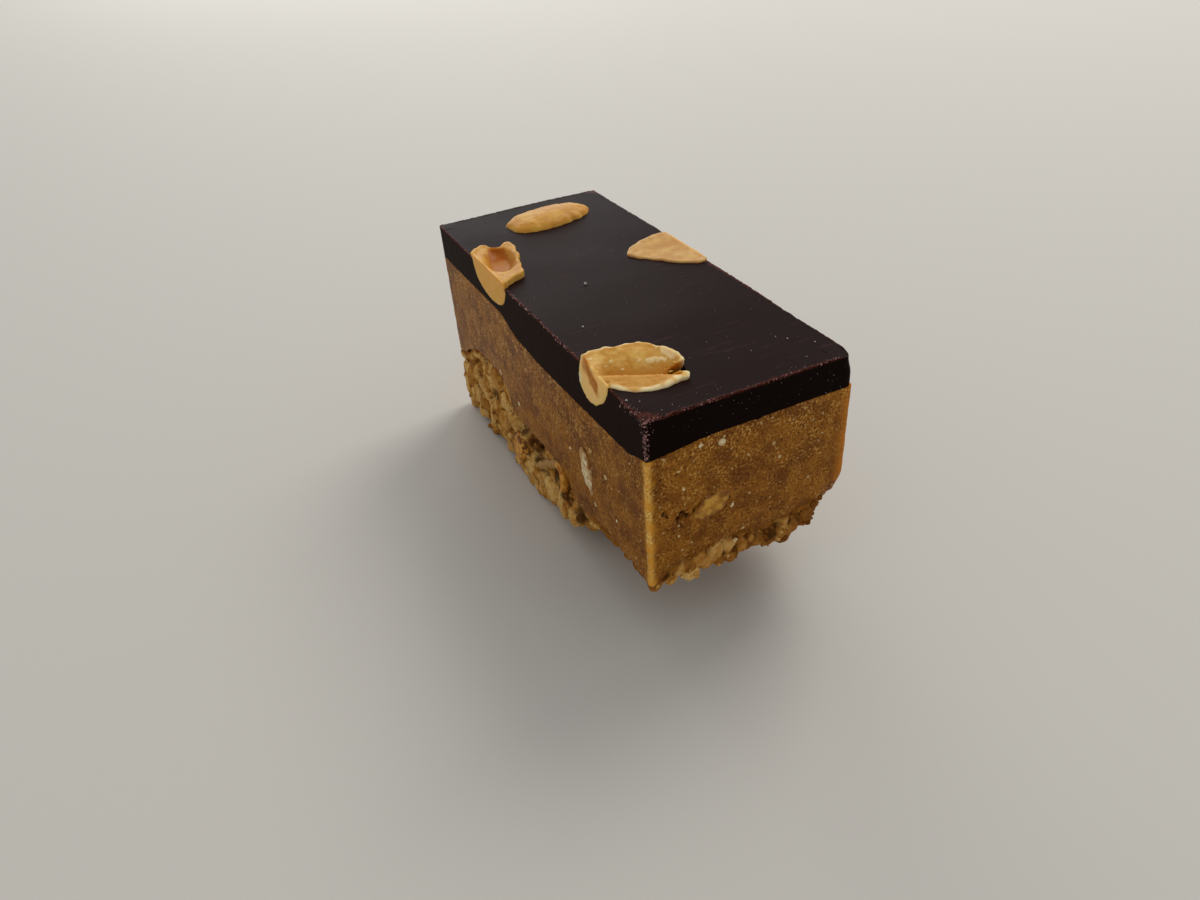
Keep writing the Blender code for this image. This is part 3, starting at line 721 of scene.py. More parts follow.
for nut, kernel in zip(peanuts, KERNELS):
    back = kernel_place(kernel).inverted()
    shares = [nut_shares(vertex, kernel, back) for vertex in nut.data.vertices]
    for index, name in enumerate(("rim", "deep", "cut", "stain")):
        paint(nut, name, lambda vertex: shares[vertex.index][index])
    roughen(nut, 1.4 * MM, 0.12 * MM)
    roughen(nut, 0.4 * MM, (0.1 if kernel["name"] == PEANUT_FRONT else 0.05) * MM)
    serve(nut, "peanut", kernel["name"])

# %% [markdown]
# ### The slab's burr and scrapes
# Brittle chocolate crumbles along the edge that the knife leaves, and the blade drags upright scrapes down
# the sides. The edge is found by its distance and roughened along its normals. The scrapes are stretched
# noise, and so shallow that they only break up the shine.

# %% Scrapes and the burr of the chocolate
BURR_REACH = (0.05 * MM, 0.5 * MM)
BURR_HEIGHT = 0.07 * MM
SCRAPE_DEPTH = 0.015 * MM


def edge_nearness(vertex):
    """1 on the top edge of the slab, 0 from half a millimetre away."""
    x, y, z = vertex.co
    side = min(side_place(y, z) - abs(x), LENGTH / 2 - abs(y))
    if at_front_right(x, y):
        side = min(side, side_place(y, z) - abs(x) - RIGHT_LEAN * 0.8)
    return 1.0 - smooth_step(*BURR_REACH, math.hypot(max(0.0, side), max(0.0, HEIGHT - z)))


# This share also turns the slab's colour reddish along its top edge: burr, and partly a painted highlight.
paint(chocolate, "burr", edge_nearness)
normals = [vertex.normal.copy() for vertex in chocolate.data.vertices]
for vertex, normal in zip(chocolate.data.vertices, normals):
    x, y, z = vertex.co / MM
    crumbly = edge_nearness(vertex)
    if crumbly > 0.0:
        ragged = noise.noise(vertex.co / (0.45 * MM)) + 0.4
        vertex.co += normal * (BURR_HEIGHT * crumbly * ragged)
    elif abs(normal.z) < 0.4:
        scrape = noise.noise(Vector((x / 0.9, y / 0.9, z / 3.0)))
        vertex.co += normal * (SCRAPE_DEPTH * scrape)
serve(chocolate, "chocolate", "chocolate_layer")

# %% [markdown]
# ## Crumb base
# The base is baked crumb bound with syrup and pressed flat: lumps of a millimetre or two with dark gaps
# between them, cut flush by the knife at the sides and torn where it broke. Real crumb is many lumps grown
# together, so it is made like that. A core block is cut like the CAD one and kept a little small. Well over a
# thousand uneven lumps are set in its faces, and a voxel remesh melts all of them into one skin, which is
# then trimmed to the slice.

# %% The core of the base
CORE_INSET = 0.5 * MM
CORE_FLOOR = 0.6 * MM
CORE_CRUST_RISE = 0.6 * MM
BREAK_OVERCUT = 0.8 * MM
BREAK_DROP = 2.0 * MM
CRUST_RIPPLE = (5.0 * MM, 0.9 * MM, 31.0)
# The crust thins out towards the near edge by so much, within these distances of it.
CRUST_THINNING = 0.9 * MM
THINNING_FADE = (0.8 * MM, 3.6 * MM)


def crust_underside(x, y):
    """Height of the broken underside of the front crust, which thins out towards the near edge."""
    near = 1.0 - smooth_step(*THINNING_FADE, from_near_edge(x, y))
    return BROKEN_HEIGHT + ripple(x, y, CRUST_RIPPLE) + CRUST_THINNING * near


base = add_block("crumb_lumps", (WIDTH - 2 * CORE_INSET, LENGTH - 2 * CORE_INSET, CRUMB_DEPTH))
cut_into_cells(base)
for vertex in base.data.vertices:
    x, y, z = vertex.co
    vertex.co.z = CORE_FLOOR + (caramel_floor(x, y) - CORE_FLOOR) * z / CRUMB_DEPTH

broken = add_block("broken_front", (WIDTH * 1.2, LENGTH, BROKEN_HEIGHT + BREAK_DROP))
cut_into_cells(broken)
for vertex in broken.data.vertices:
    x, y, z = vertex.co.x, vertex.co.y - LENGTH / 2, vertex.co.z - BREAK_DROP
    y = (y + LENGTH) / LENGTH * (broken_face(x, z) + BREAK_OVERCUT + LENGTH) - LENGTH
    z = z - BROKEN_HEIGHT + crust_underside(x, y) + CORE_CRUST_RISE if z > 0.0 else z
    vertex.co = (x, y, z)
subtract(base, broken)

# %% [markdown]
# ### Torn hollows
# Where lumps fell out, the base has deep ragged holes, and its front right corner has chipped away. Each is
# an icosphere with a roughened skin, cut out of the core by a Boolean. The rule that tells how far a place
# lies in a hollow is kept, because the lumps, the colours and the loose crumbs all need it.

# %% Hollows torn out of the faces
CHIPPED_CORNER = Vector((WIDTH / 2, -LENGTH / 2, BROKEN_HEIGHT))
CORNER_CHIP = 3.1 * MM
HOLLOW_SWELL = 1.3
# For each face, the place along it, height and half size of each hollow, in millimetres.
HOLLOWS = {
    "left": (
        (-7.0, 6.6, 1.3), (-5.2, 7.4, 0.9), (-1.4, 6.3, 1.0), (0.2, 7.2, 1.7), (2.4, 7.9, 1.7),
        (4.4, 8.4, 1.3), (4.6, 5.0, 0.7), (-11.2, 5.8, 1.3), (13.5, 8.2, 0.7), (20.3, 5.6, 0.8),
    ),
    "front": ((2.6, 8.6, 0.5), (0.6, 8.9, 0.3), (-9.4, 8.9, 0.3)),
}


def on_face(face, place, height, depth=0.0):
    """The point at that place and height of the left or front face, that deep in it, from millimetres."""
    if face == "front":
        return Vector((place * MM, -LENGTH / 2 + depth * MM, height * MM))
    return Vector((-WIDTH / 2 + depth * MM, place * MM, height * MM))


def add_lump(name, centre, half_sizes, turn=(0.0, 0.0, 0.0), rings=2):
    """An icosphere of those half sizes, turned and placed."""
    lump = add_object(bpy.ops.mesh.primitive_ico_sphere_add, name, subdivisions=rings, radius=1.0)
    lump.data.transform(Matrix.LocRotScale(Vector(centre), Euler(turn), Vector(half_sizes)))
    return lump


torn_away = []
for face, hollows in HOLLOWS.items():
    for place, height, size in hollows:
        torn_away.append((on_face(face, place, height), HOLLOW_SWELL * size * MM))
torn_away.append((CHIPPED_CORNER, CORNER_CHIP))
for centre, radius in torn_away:
    hollow = add_lump("hollow", centre, [radius] * 3, rings=3)
    if radius < CORNER_CHIP:
        roughen(hollow, 0.8 * MM, 0.9 * MM)
    subtract(base, hollow)


def hollowness(spot, margin=0.0):
    """1 inside a hollow grown by the margin, fading to 0 outside it over a ragged border."""
    margin += 0.5 * MM * noise.noise(spot / (0.8 * MM))
    away = [(spot - centre).length / (radius + margin) for centre, radius in torn_away]
    return max(1.0 - smooth_step(0.8, 1.25, share) for share in away)


# %% [markdown]
# ### Lumps in every rough face
# The lumps that stand out in the front and left faces have their own places, sizes and tones. The rest fall
# where chance puts them, more of them in the long sides and fewer in the small rough places, and never on one
# that stands out. Modelling each by hand would take days, so one icosphere is copied to all of the places,
# each copy stretched and turned its own way.

# %% Lumps that stand out
# For each face, the place along it, height, half size and tone of each lump: 0 is dark and 1 is pale.
NAMED_LUMPS = {
    "left": (
        (-2.8, 3.9, 2.1, 0.9), (3.1, 3.0, 1.2, 1.0), (0.9, 3.5, 0.9, 0.6), (-6.0, 2.9, 1.2, 0.75),
        (-8.8, 3.6, 1.2, 0.8), (-10.3, 4.4, 0.8, 0.6), (12.4, 11.2, 1.7, 0.5), (9.6, 9.3, 1.3, 0.95),
        (16.5, 8.0, 1.6, 0.45), (12.0, 5.0, 1.7, 0.6), (19.5, 4.0, 1.5, 0.3), (23.5, 6.0, 1.6, 0.4),
    ),
    "front": (
        (-7.7, 8.6, 0.8, 0.65), (-5.5, 9.0, 0.9, 0.5), (-4.7, 8.2, 0.7, 0.6), (-3.7, 9.2, 0.95, 0.7),
        (-2.2, 9.2, 0.8, 0.7), (-0.6, 8.4, 0.7, 0.45), (1.2, 8.2, 0.7, 0.35), (4.4, 9.7, 0.6, 0.7),
        (5.4, 8.2, 0.7, 0.6), (7.0, 9.4, 1.0, 0.05),
    ),
}
# How deep a lump that stands out is sunk, and how much room is kept clear round it, in half sizes.
SUNK = 0.6
KEPT_CLEAR = 0.8
BASE_NUT_PLACE = Vector((-11.2, 6.7, 4.1)) * MM
BASE_NUT_ROOM = 1.9 * MM

lumps = []
kept_clear = []
for face, named in NAMED_LUMPS.items():
    for place, height, size, tone in named:
        centre = on_face(face, place, height, SUNK * size)
        lumps.append((centre, size * MM, tone))
        kept_clear.append((centre, KEPT_CLEAR * size * MM))
kept_clear.append((BASE_NUT_PLACE, BASE_NUT_ROOM))
named_count = len(lumps)


def crowded(spot, margin):
    """Whether the spot lies too near one of the lumps that stand out, or the nut in the base."""
    return any((spot - centre).length < radius + margin for centre, radius in kept_clear)


# %% Places for the other lumps
# How often a lump is tried in each of the rough faces.
ROUGH_FACES = {"sides": 44, "ends": 20, "crust": 16, "torn": 12, "under": 14, "hollow": 9}
LOWEST = 0.4 * MM
CRUST_END = -8.0 * MM


def rough_place(draw, size):
    """A random place just inside one of the rough faces of the base, or None where no base is left."""
    face = draw.choices(list(ROUGH_FACES), list(ROUGH_FACES.values()))[0]
    x = draw.uniform(-WIDTH / 2, WIDTH / 2)
    y = draw.uniform(-LENGTH / 2, LENGTH / 2)
    depth = size * draw.uniform(0.45, 0.95)
    if face == "sides":
        x = draw.choice((-1.0, 1.0)) * (WIDTH / 2 - depth)
    if face == "ends":
        y = draw.choice((-1.0, 1.0)) * (LENGTH / 2 - depth)
    top = caramel_floor(x, y)
    z = draw.uniform(LOWEST, top - 0.2 * MM)
    if face == "crust":
        y = draw.uniform(-LENGTH / 2, CRUST_END)
        z = crust_underside(x, y) + 1.3 * depth
    if face == "torn":
        z = draw.uniform(LOWEST, BROKEN_HEIGHT)
        y = broken_face(x, z) + depth
    if face == "under":
        z = depth
    if face == "hollow":
        centre, radius = draw.choice(torn_away)
        inward = Vector([draw.gauss(0.0, 1.0) for axis in range(3)]).normalized()
        x, y, z = centre + inward * (radius + 0.3 * size)
        if max(abs(x) - WIDTH / 2, abs(y) - LENGTH / 2) > -0.4 * size:
            return None
    bare = z < BROKEN_HEIGHT + 0.3 * size and y < broken_face(x, z) + 0.3 * size
    spot = Vector((x, y, z))
    blocked = hollowness(spot, 0.5 * size) > 0.5 and face != "hollow"
    return None if bare or z > top or blocked or crowded(spot, 0.6 * size) else spot


def baked_tone(spot, chance):
    """Tone of a lump: the front crust is pale at its left, burnt in its middle and brown at its right."""
    if spot.y > -24.0 * MM:
        thin_crust = spot.x < -8.0 * MM and spot.y < -16.0 * MM
        return 0.3 * chance if thin_crust else 0.25 + 0.75 * chance
    pale = smooth_step(0.0, -1.6 * MM, spot.x)
    brown = smooth_step(3.0 * MM, 5.0 * MM, spot.x)
    return chance * (0.2 + 0.6 * pale + 0.25 * brown) + 0.15 * pale


# %% Copying the lumps into their places
LUMP_TRIES = 2400
LUMP_SIZES = (0.35, 0.5, 0.65, 0.85, 1.0)


def three(draw, low, high):
    """Three random numbers between two limits, for the half sizes or the turn of a lump."""
    return [draw.uniform(low, high) for axis in range(3)]


def join_copies(name, copies, rings):
    """One icosphere, copied to each place with its own mesh, and all of them joined."""
    pattern = add_lump(name, (0.0, 0.0, 0.0), (1.0, 1.0, 1.0), rings=rings)
    made = []
    for centre, half_sizes, turn in copies:
        mesh = pattern.data.copy()
        mesh.transform(Matrix.LocRotScale(Vector(centre), Euler(turn), Vector(half_sizes)))
        made.append(bpy.data.objects.new(name, mesh))
        bpy.context.scene.collection.objects.link(made[-1])
    bpy.data.objects.remove(pattern)
    joined = join(made)
    joined.name = joined.data.name = name
    return joined


draw = random.Random(11)
for attempt in range(LUMP_TRIES):
    size = draw.choice(LUMP_SIZES) * draw.uniform(0.85, 1.2) * MM
    centre = rough_place(draw, size)
    tone = draw.random()
    if centre is not None:
        lumps.append((centre, size, baked_tone(centre, tone)))
copies = []
for centre, size, tone in lumps:
    half_sizes = [size * share for share in three(draw, 0.75, 1.2)]
    copies.append((centre, half_sizes, three(draw, 0.0, math.tau)))
joined_lumps = join_copies("lumps", copies, 2)
roughen(joined_lumps, 0.8 * MM, 0.38 * MM)
base = join([base, joined_lumps])
print("lumps:", len(lumps))

# %% [markdown]
# ### One skin, trimmed to the slice
# The voxel remesh melts core and lumps together, as baking did. Two displacements then crumble the skin, and
# after each of them what stands out is pressed back to the cut faces, because the knife cut it nearly flush.
# The chipped corner is pressed out in the same way.

# %% The skin of the base
CRUMB_SKIN = 0.25 * MM
STANDING_OUT = 0.35
CHIP_FIRMNESS = 0.3


def press(place, half):
    """A coordinate that stands out beyond the half size is pressed back, but not quite flush."""
    beyond = max(0.0, abs(place) - half)
    return math.copysign(abs(place) - beyond * (1.0 - STANDING_OUT), place)


def trim_to_slice(piece):
    """Presses what stands out back to the cut faces, the floor and the chip at the corner."""
    for vertex in piece.data.vertices:
        x, y, z = vertex.co
        x = press(x, side_place(y, z))
        y = press(y, LENGTH / 2)
        place = Vector((x, y, min(caramel_floor(x, y), max(0.0, z)))) - CHIPPED_CORNER
        if place.length < CORNER_CHIP:
            place *= (CORNER_CHIP - CHIP_FIRMNESS * (CORNER_CHIP - place.length)) / place.length
        vertex.co = place + CHIPPED_CORNER


apply_modifier(base, "REMESH", mode="VOXEL", voxel_size=CRUMB_SKIN)
roughen(base, 0.6 * MM, 0.26 * MM, noise_depth=2)
trim_to_slice(base)
roughen(base, 0.3 * MM, 0.12 * MM)
trim_to_slice(base)
apply_modifier(base, "SMOOTH", factor=0.5, iterations=2)
for vertex in base.data.vertices:
    vertex.co += wear(vertex.co)
print("crumb faces:", len(base.data.polygons))

# %% [markdown]
# ### Where the base changes colour
# The gaps between lumps are moist and darkened with painted shade, like the hollows, syrup has soaked the
# crumb near the caramel, and each lump baked to its own tone. A gap is where a well smoothed copy of the skin
# lies further out than the skin itself. The tone is that of the nearest lump, which a tree of their centres
# finds quickly.

# %% Painted shade in the gaps, the syrup and the tone of each lump
GAP_DEPTH = 0.2 * MM
HOLLOW_SHADE = 0.55
smoothed = base.copy()
smoothed.data = base.data.copy()
bpy.context.scene.collection.objects.link(smoothed)
apply_modifier(smoothed, "SMOOTH", factor=0.5, iterations=14)
level = [vertex.co.copy() for vertex in smoothed.data.vertices]
bpy.data.objects.remove(smoothed)

lump_tree = kdtree.KDTree(len(lumps))
for index, (centre, size, tone) in enumerate(lumps):
    lump_tree.insert(centre, index)
lump_tree.balance()


def gap_shade_share(vertex):
    """How much painted shade the vertex takes, by how far it lies in a gap between lumps or in a hollow."""
    sunk = (level[vertex.index] - vertex.co).dot(vertex.normal)
    return max(sunk / GAP_DEPTH, HOLLOW_SHADE * hollowness(vertex.co))


def syrup_at(spot):
    """How far caramel has soaked the crumb: at the near edge, the right end and under the caramel."""
    x, y, z = spot
    corner = 0.5 - smooth_step(0.6 * MM, 3.6 * MM, from_near_edge(x, y))
    right_end = 0.7 * smooth_step(3.5 * MM, 6.0 * MM, x) * smooth_step(-20.0 * MM, -24.0 * MM, y)
    under = 0.8 - smooth_step(0.2 * MM, 1.3 * MM, caramel_floor(x, y) - z)
    return max(0.0, corner, right_end, under)


def tone_near(spot):
    """Tone of the lump that is nearest to a spot."""
    return lumps[lump_tree.find(spot)[1]][2]


paint(base, "gap", gap_shade_share)
paint(base, "syrup", lambda vertex: syrup_at(vertex.co))
paint(base, "tone", lambda vertex: tone_near(vertex.co))
serve(base, "crumb", "crumb_base")

# %% [markdown]
# ### Cobbles
# The larger lumps stand out as cobbles of their own, crisper than the skin can show. Each gets a finer
# icosphere over the lump in the skin, roughened three times, from broad dents to the grain of an oat flake,
# and is trimmed like the skin.

# %% The larger lumps
COBBLE_SIZE = 0.85 * MM
COBBLE_RINGS = 5
COBBLE_VERTICES = 2562
large = [lump for lump in lumps[:named_count] if lump[1] > COBBLE_SIZE]
copies = []
for centre, size, tone in large:
    half_sizes = [size * share for share in three(draw, 0.85, 1.1)]
    copies.append((centre, half_sizes, three(draw, 0.0, math.tau)))
cobbles = join_copies("crumb_cobbles", copies, COBBLE_RINGS)
for size, depth in ((1.1, 0.7), (0.5, 0.3), (0.22, 0.14)):
    roughen(cobbles, size * MM, depth * MM)
trim_to_slice(cobbles)
paint(cobbles, "tone", lambda vertex: large[vertex.index // COBBLE_VERTICES][2])
serve(cobbles, "crumb")

# %% [markdown]
# ## Crumbs and loose grains
# Where the base was cut and torn, crisp crumbs and fine grains stick to it, more than the skin can carry.
# Each is a small icosphere of its own, as uneven as its neighbours and with its own tone, from burnt sugar to
# pale oats. They are drawn by chance, with a seed so that they fall alike each time, on faces that can hold
# them.

# %% Crumbs and grains on the base
CRUMB_COUNT = 1500
CRUMB_SIZES = (0.14, 0.34)
CRUMB_VERTICES = 42
GRAIN_COUNT = 4600
GRAIN_SIZES = (0.05, 0.12)
GRAIN_VERTICES = 12
FLOOR_CLEARANCE = 0.05 * MM


def share_of(face):
    """How readily crumbs stick to a face: not under the caramel, on the floor or on big lumps."""
    x, y, z = face.center
    if z > caramel_floor(x, y) - 0.3 * MM or (face.normal.z < -0.8 and z < 1.0 * MM):
        return 0.0
    if crowded(face.center, 0.3 * MM):
        return 0.0
    share = 0.35 if face.normal.z < -0.2 else 1.0
    return share * (0.4 if x < -10.0 * MM else 1.0)


def scatter(name, count, sizes, rings, vertices_each):
    """Sets that many crumbs of these sizes on the base."""
    copies = []
    tones = []
    for face in draw.choices(base.data.polygons, weights=shares, k=count):
        size = draw.uniform(*sizes) * MM
        half_sizes = [size * share for share in three(draw, 0.55, 1.35)]
        place = face.center + face.normal * size * draw.uniform(-0.5, 0.25)
        limit = side_place(place.y, place.z) + 0.05 * MM
        place.x = min(limit, max(-limit, place.x))
        place.z = max(1.5 * size + FLOOR_CLEARANCE, place.z)
        copies.append((place, half_sizes, three(draw, 0.0, math.tau)))
        # Crumbs in the hollows are darkened with painted shade, and crumbs soaked in syrup are darker too.
        dark = 0.8 * hollowness(place) + 0.5 * syrup_at(place)
        tones.append(min(1.0, max(0.0, tone_near(place) + draw.gauss(0.08, 0.28)) - dark))
    made = join_copies(name, copies, rings)
    paint(made, "tone", lambda vertex: tones[vertex.index // vertices_each])
    return made


draw = random.Random(5)
shares = [share_of(face) for face in base.data.polygons]
crumbs = scatter("crumbs", CRUMB_COUNT, CRUMB_SIZES, 2, CRUMB_VERTICES)
roughen(crumbs, 0.4 * MM, 0.22 * MM)
serve(crumbs, "crumb")
grains = scatter("crumb_grains", GRAIN_COUNT, GRAIN_SIZES, 1, GRAIN_VERTICES)
serve(grains, "crumb")

# %% [markdown]
# ## An arch of caramel
# On the left side a drip of caramel ran down over a hollow and set as a small arch. A path with a bevel gives
# a tube along a few chosen points. Made a mesh and remeshed, it can be left as uneven as a drip.

# %% The arch
# Places along the left side and heights of the arch, in millimetres.
ARCH = ((-1.3, 6.4), (-2.9, 7.4), (-5.1, 9.1), (-6.9, 9.9), (-8.0, 9.6), (-8.2, 8.5), (-7.9, 7.4))
ARCH_RADIUS = 0.5 * MM
ARCH_SKIN = 0.12 * MM
ARCH_TAN_FROM = -7.6 * MM
ARCH_TAN_TO = -5.8 * MM
arch = add_object(bpy.ops.curve.primitive_nurbs_path_add, "caramel_arch")
arch.data.splines.clear()
line = arch.data.splines.new("NURBS")
line.points.add(len(ARCH) - 1)
for point, (along, height) in zip(line.points, ARCH):
    point.co = (-side_place(along * MM, height * MM), along * MM, height * MM, 1.0)
line.use_endpoint_u = True
line.order_u = 4
arch.data.bevel_depth = ARCH_RADIUS
arch.data.bevel_resolution = 6
arch.data.use_fill_caps = True
only(arch)
bpy.ops.object.convert(target="MESH")
arch.data.name = arch.name
apply_modifier(arch, "REMESH", mode="VOXEL", voxel_size=ARCH_SKIN)
roughen(arch, 1.2 * MM, 0.7 * MM)
roughen(arch, 0.3 * MM, 0.1 * MM)
paint(arch, "edge", lambda vertex: 1.2 * smooth_step(ARCH_TAN_FROM, ARCH_TAN_TO, vertex.co.y))
serve(arch, "caramel")

# %% [markdown]
# ## Cut nuts in the sides
# Pieces of nut show in the caramel and in the base where the knife went through them. Each is an icosphere in
# its place, roughened and cut flush by a bisect. The caramel's skin is drawn in a little behind the two that
# lie in it, so that they are seen.

# %% The three nut chips
# Face, place along it, height and depth of the centre, half sizes in mm, and degrees turned in the face.
CHIPS = {
    "nut_chip_left": ("left", -14.6, 13.9, -0.3, (0.9, 1.25, 2.7), -14.0),
    "nut_chip_front": ("front", -4.4, 15.2, 0.0, (2.0, 0.9, 1.2), -18.0),
    "nut_chip_base": ("left", 6.7, 4.1, 0.5, (1.3, 1.7, 2.4), 20.0),
}
FRONT_PROUD = 0.02 * MM
LEFT_PROUD = 0.05 * MM
CHIP_SKIN = 0.12 * MM
POCKET_REACH = 0.5 * MM
POCKET_DEPTH = 0.15 * MM
chips = {}
pockets = []
for name, (face, place, height, depth, half_sizes, degrees) in CHIPS.items():
    centre = on_face(face, place, height, depth)
    half_sizes = Vector([size * MM for size in half_sizes])
    turn = Matrix.Rotation(math.radians(degrees), 4, "Y" if face == "front" else "X").to_euler()
    chip = add_lump(name + "_cut", centre, half_sizes, turn, rings=5)
    roughen(chip, 1.0 * MM, 0.8 * MM)
    if face == "front":
        slice_off(chip, (0.0, -LENGTH / 2 - FRONT_PROUD, 0.0), (0.0, -1.0, 0.0))
    else:
        slice_off(chip, (-side_place(centre.y, centre.z) - LEFT_PROUD, 0.0, 0.0), (-1.0, 0.0, 0.0))
    apply_modifier(chip, "REMESH", mode="VOXEL", voxel_size=CHIP_SKIN)
    roughen(chip, 0.5 * MM, 0.08 * MM)
    back = Matrix.LocRotScale(centre, turn, half_sizes).inverted()
    paint(chip, "edge", lambda vertex: (back @ vertex.co).length + 0.5 * noise.noise(vertex.co / (0.6 * MM)))
    serve(chip, "nut_chip", name)
    chips[name] = chip
    if name != "nut_chip_base":
        pockets.append((centre, half_sizes, 0 if face == "front" else 1))

# %% Their pockets in the caramel
SIDES = (WIDTH / 2, LENGTH / 2)
for vertex in caramel.data.vertices:
    for centre, half_sizes, along in pockets:
        inward = 1 - along
        aside = (vertex.co[along] - centre[along]) / half_sizes[along]
        up = (vertex.co.z - centre.z) / half_sizes.z
        if vertex.co[inward] + SIDES[inward] < POCKET_REACH and math.hypot(aside, up) < 1.0:
            vertex.co -= vertex.normal * POCKET_DEPTH

# %% [markdown]
# ## Specks and grains of ground nut
# The caramel is full of ground nut. The specks that catch the eye have their own places. Finer ones fall by
# chance on all four sides. Each is an icosphere pressed flat and set flush in the cut, because the knife went
# through them all. What is finer still is left to the caramel's material.

# %% Pale specks of ground nut
# For each face, the place along it, height and half size of the specks that stand out, in millimetres.
SPECKS = {
    "front": (
        (-3.3, 21.9, 0.38), (-5.5, 22.3, 0.28), (-9.3, 22.2, 0.34), (2.3, 19.7, 0.3), (3.0, 18.0, 0.3),
        (-7.3, 18.3, 0.24), (-2.1, 14.3, 0.3), (-5.6, 14.2, 0.22), (-6.8, 17.0, 0.18), (-1.6, 9.8, 0.3),
    ),
    "left": (
        (3.6, 12.3, 0.45), (-18.9, 15.9, 0.3), (-16.1, 10.7, 0.35), (-20.8, 11.9, 0.3),
        (-10.9, 14.6, 0.35), (-15.9, 17.2, 0.4), (9.0, 13.9, 0.5),
    ),
}
# How often a finer speck falls on each side.
SPECKED_FACES = {"front": 30, "back": 12, "left": 30, "right": 28}
RANDOM_SPECKS = 190
RANDOM_SPECK_SIZES = (0.07, 0.09, 0.12, 0.17)
SPECK_THINNESS = 0.35
SPECK_SINK = 0.15
SPECK_MARGIN = 0.8 * MM


def flat_speck(face, place, height, size):
    """Place, half sizes and turn of a flat speck that lies flush in that side of the caramel."""
    thin = SPECK_THINNESS * size
    broad = size * draw.uniform(0.7, 1.2)
    tall = size * draw.uniform(0.7, 1.2)
    spin = draw.uniform(0.0, math.pi)
    side = -1.0 if face in ("front", "left") else 1.0
    if face in ("front", "back"):
        centre = (place, side * (LENGTH / 2 - SPECK_SINK * size), height)
        return centre, (broad, thin, tall), (0.0, spin, 0.0)
    centre = (side * (side_place(place, height) - SPECK_SINK * size), place, height)
    return centre, (thin, broad, tall), (spin, 0.0, 0.0)


def any_speck():
    """A fine speck at a random place of a random side, between the crumb and the chocolate."""
    face = draw.choices(list(SPECKED_FACES), list(SPECKED_FACES.values()))[0]
    side = -1.0 if face in ("front", "left") else 1.0
    across = face in ("front", "back")
    reach = (WIDTH if across else LENGTH) / 2 - SPECK_MARGIN
    place = draw.uniform(-reach, reach)
    x, y = (place, side * LENGTH / 2) if across else (side * WIDTH / 2, place)
    height = draw.uniform(caramel_floor(x, y) + 0.3 * MM, chocolate_floor(x, y) - 0.4 * MM)
    return flat_speck(face, place, height, draw.choice(RANDOM_SPECK_SIZES) * MM)


draw = random.Random(23)
named_specks = []
for face, specks_there in SPECKS.items():
    for place, height, size in specks_there:
        named_specks.append(flat_speck(face, place * MM, height * MM, size * MM))
specks = join_copies("nut_specks", named_specks, 2)
sand_grains = join_copies("nut_grains", [any_speck() for attempt in range(RANDOM_SPECKS)], 2)
for piece in (specks, sand_grains):
    roughen(piece, 0.22 * MM, 0.24 * MM)
    serve(piece, "nut_chip")

# %% [markdown]
# ## Burr and shavings
# The knife dragged brittle chocolate into a reddish burr of tiny shavings along the left and front top edges
# and down the near edge. Each shaving is an icosphere of twenty faces, stretched and turned at random, and
# they crowd towards the near corner as the powers in the code make them.

# %% Shavings along the chocolate's edges
# How many there are on each edge, and their least and greatest half size in millimetres.
LEFT_SHAVINGS = (340, 0.04, 0.12)
FRONT_SHAVINGS = (240, 0.03, 0.08)
UPRIGHT_SHAVINGS = (420, 0.04, 0.13)
# Where the front nut covers the left edge, and where the shavings end.
NUT_ON_EDGE = (-23.0 * MM, -13.2 * MM)
SHAVED_TO = 4.0 * MM
WIDE_SPREAD_TO = -20.0 * MM


def shaving(place, size):
    """A shaving of about that size with random proportions and a random turn."""
    half_sizes = [size * draw.uniform(*share) for share in ((0.5, 1.6), (0.5, 1.1), (0.3, 0.8))]
    return place, half_sizes, three(draw, 0.0, math.tau)


draw = random.Random(31)
copies = []
count, least, greatest = LEFT_SHAVINGS
for attempt in range(count):
    y = -LENGTH / 2 + (LENGTH * 0.62) * draw.random() ** 1.5
    if NUT_ON_EDGE[0] < y < NUT_ON_EDGE[1] or y > SHAVED_TO:
        continue
    spread = 0.08 * MM if y > WIDE_SPREAD_TO else 0.2 * MM
    x = -WIDTH / 2 + draw.gauss(0.08, 1.0) * spread
    place = Vector((x, y, HEIGHT + draw.gauss(-0.05, 0.7) * spread))
    copies.append(shaving(place, draw.uniform(least, greatest) * MM))
count, least, greatest = FRONT_SHAVINGS
for attempt in range(count):
    x = -WIDTH / 2 + (WIDTH - 2.0 * MM) * draw.random() ** 1.6
    spread = 0.09 * MM
    y = -LENGTH / 2 + draw.gauss(0.05, 1.0) * spread
    place = Vector((x, y, HEIGHT + draw.gauss(0.0, 0.6) * spread))
    copies.append(shaving(place, draw.uniform(least, greatest) * MM))
count, least, greatest = UPRIGHT_SHAVINGS
for attempt in range(count):
    z = HEIGHT - 4.3 * MM * draw.random() ** 1.2
    spread = 0.2 * MM + 0.25 * MM * smooth_step(HEIGHT - 2.0 * MM, HEIGHT, z)
    x = -WIDTH / 2 + abs(draw.gauss(0.0, 1.0)) * spread
    y = -LENGTH / 2 + abs(draw.gauss(0.0, 1.0)) * spread
    copies.append(shaving(Vector((x, y, z)), draw.uniform(least, greatest) * MM))
shavings = join_copies("chocolate_burr", copies, 1)
serve(shavings, "chocolate")

# %% [markdown]
# ## Stray crumbs
# A few pale crumbs lie on the chocolate, and dust clings to its front. The crumbs that can be told apart have
# their own places, and two pale bumps among them are a painted highlight on small bubbles in the top. The dust
# is drawn at random, thicker towards the front.

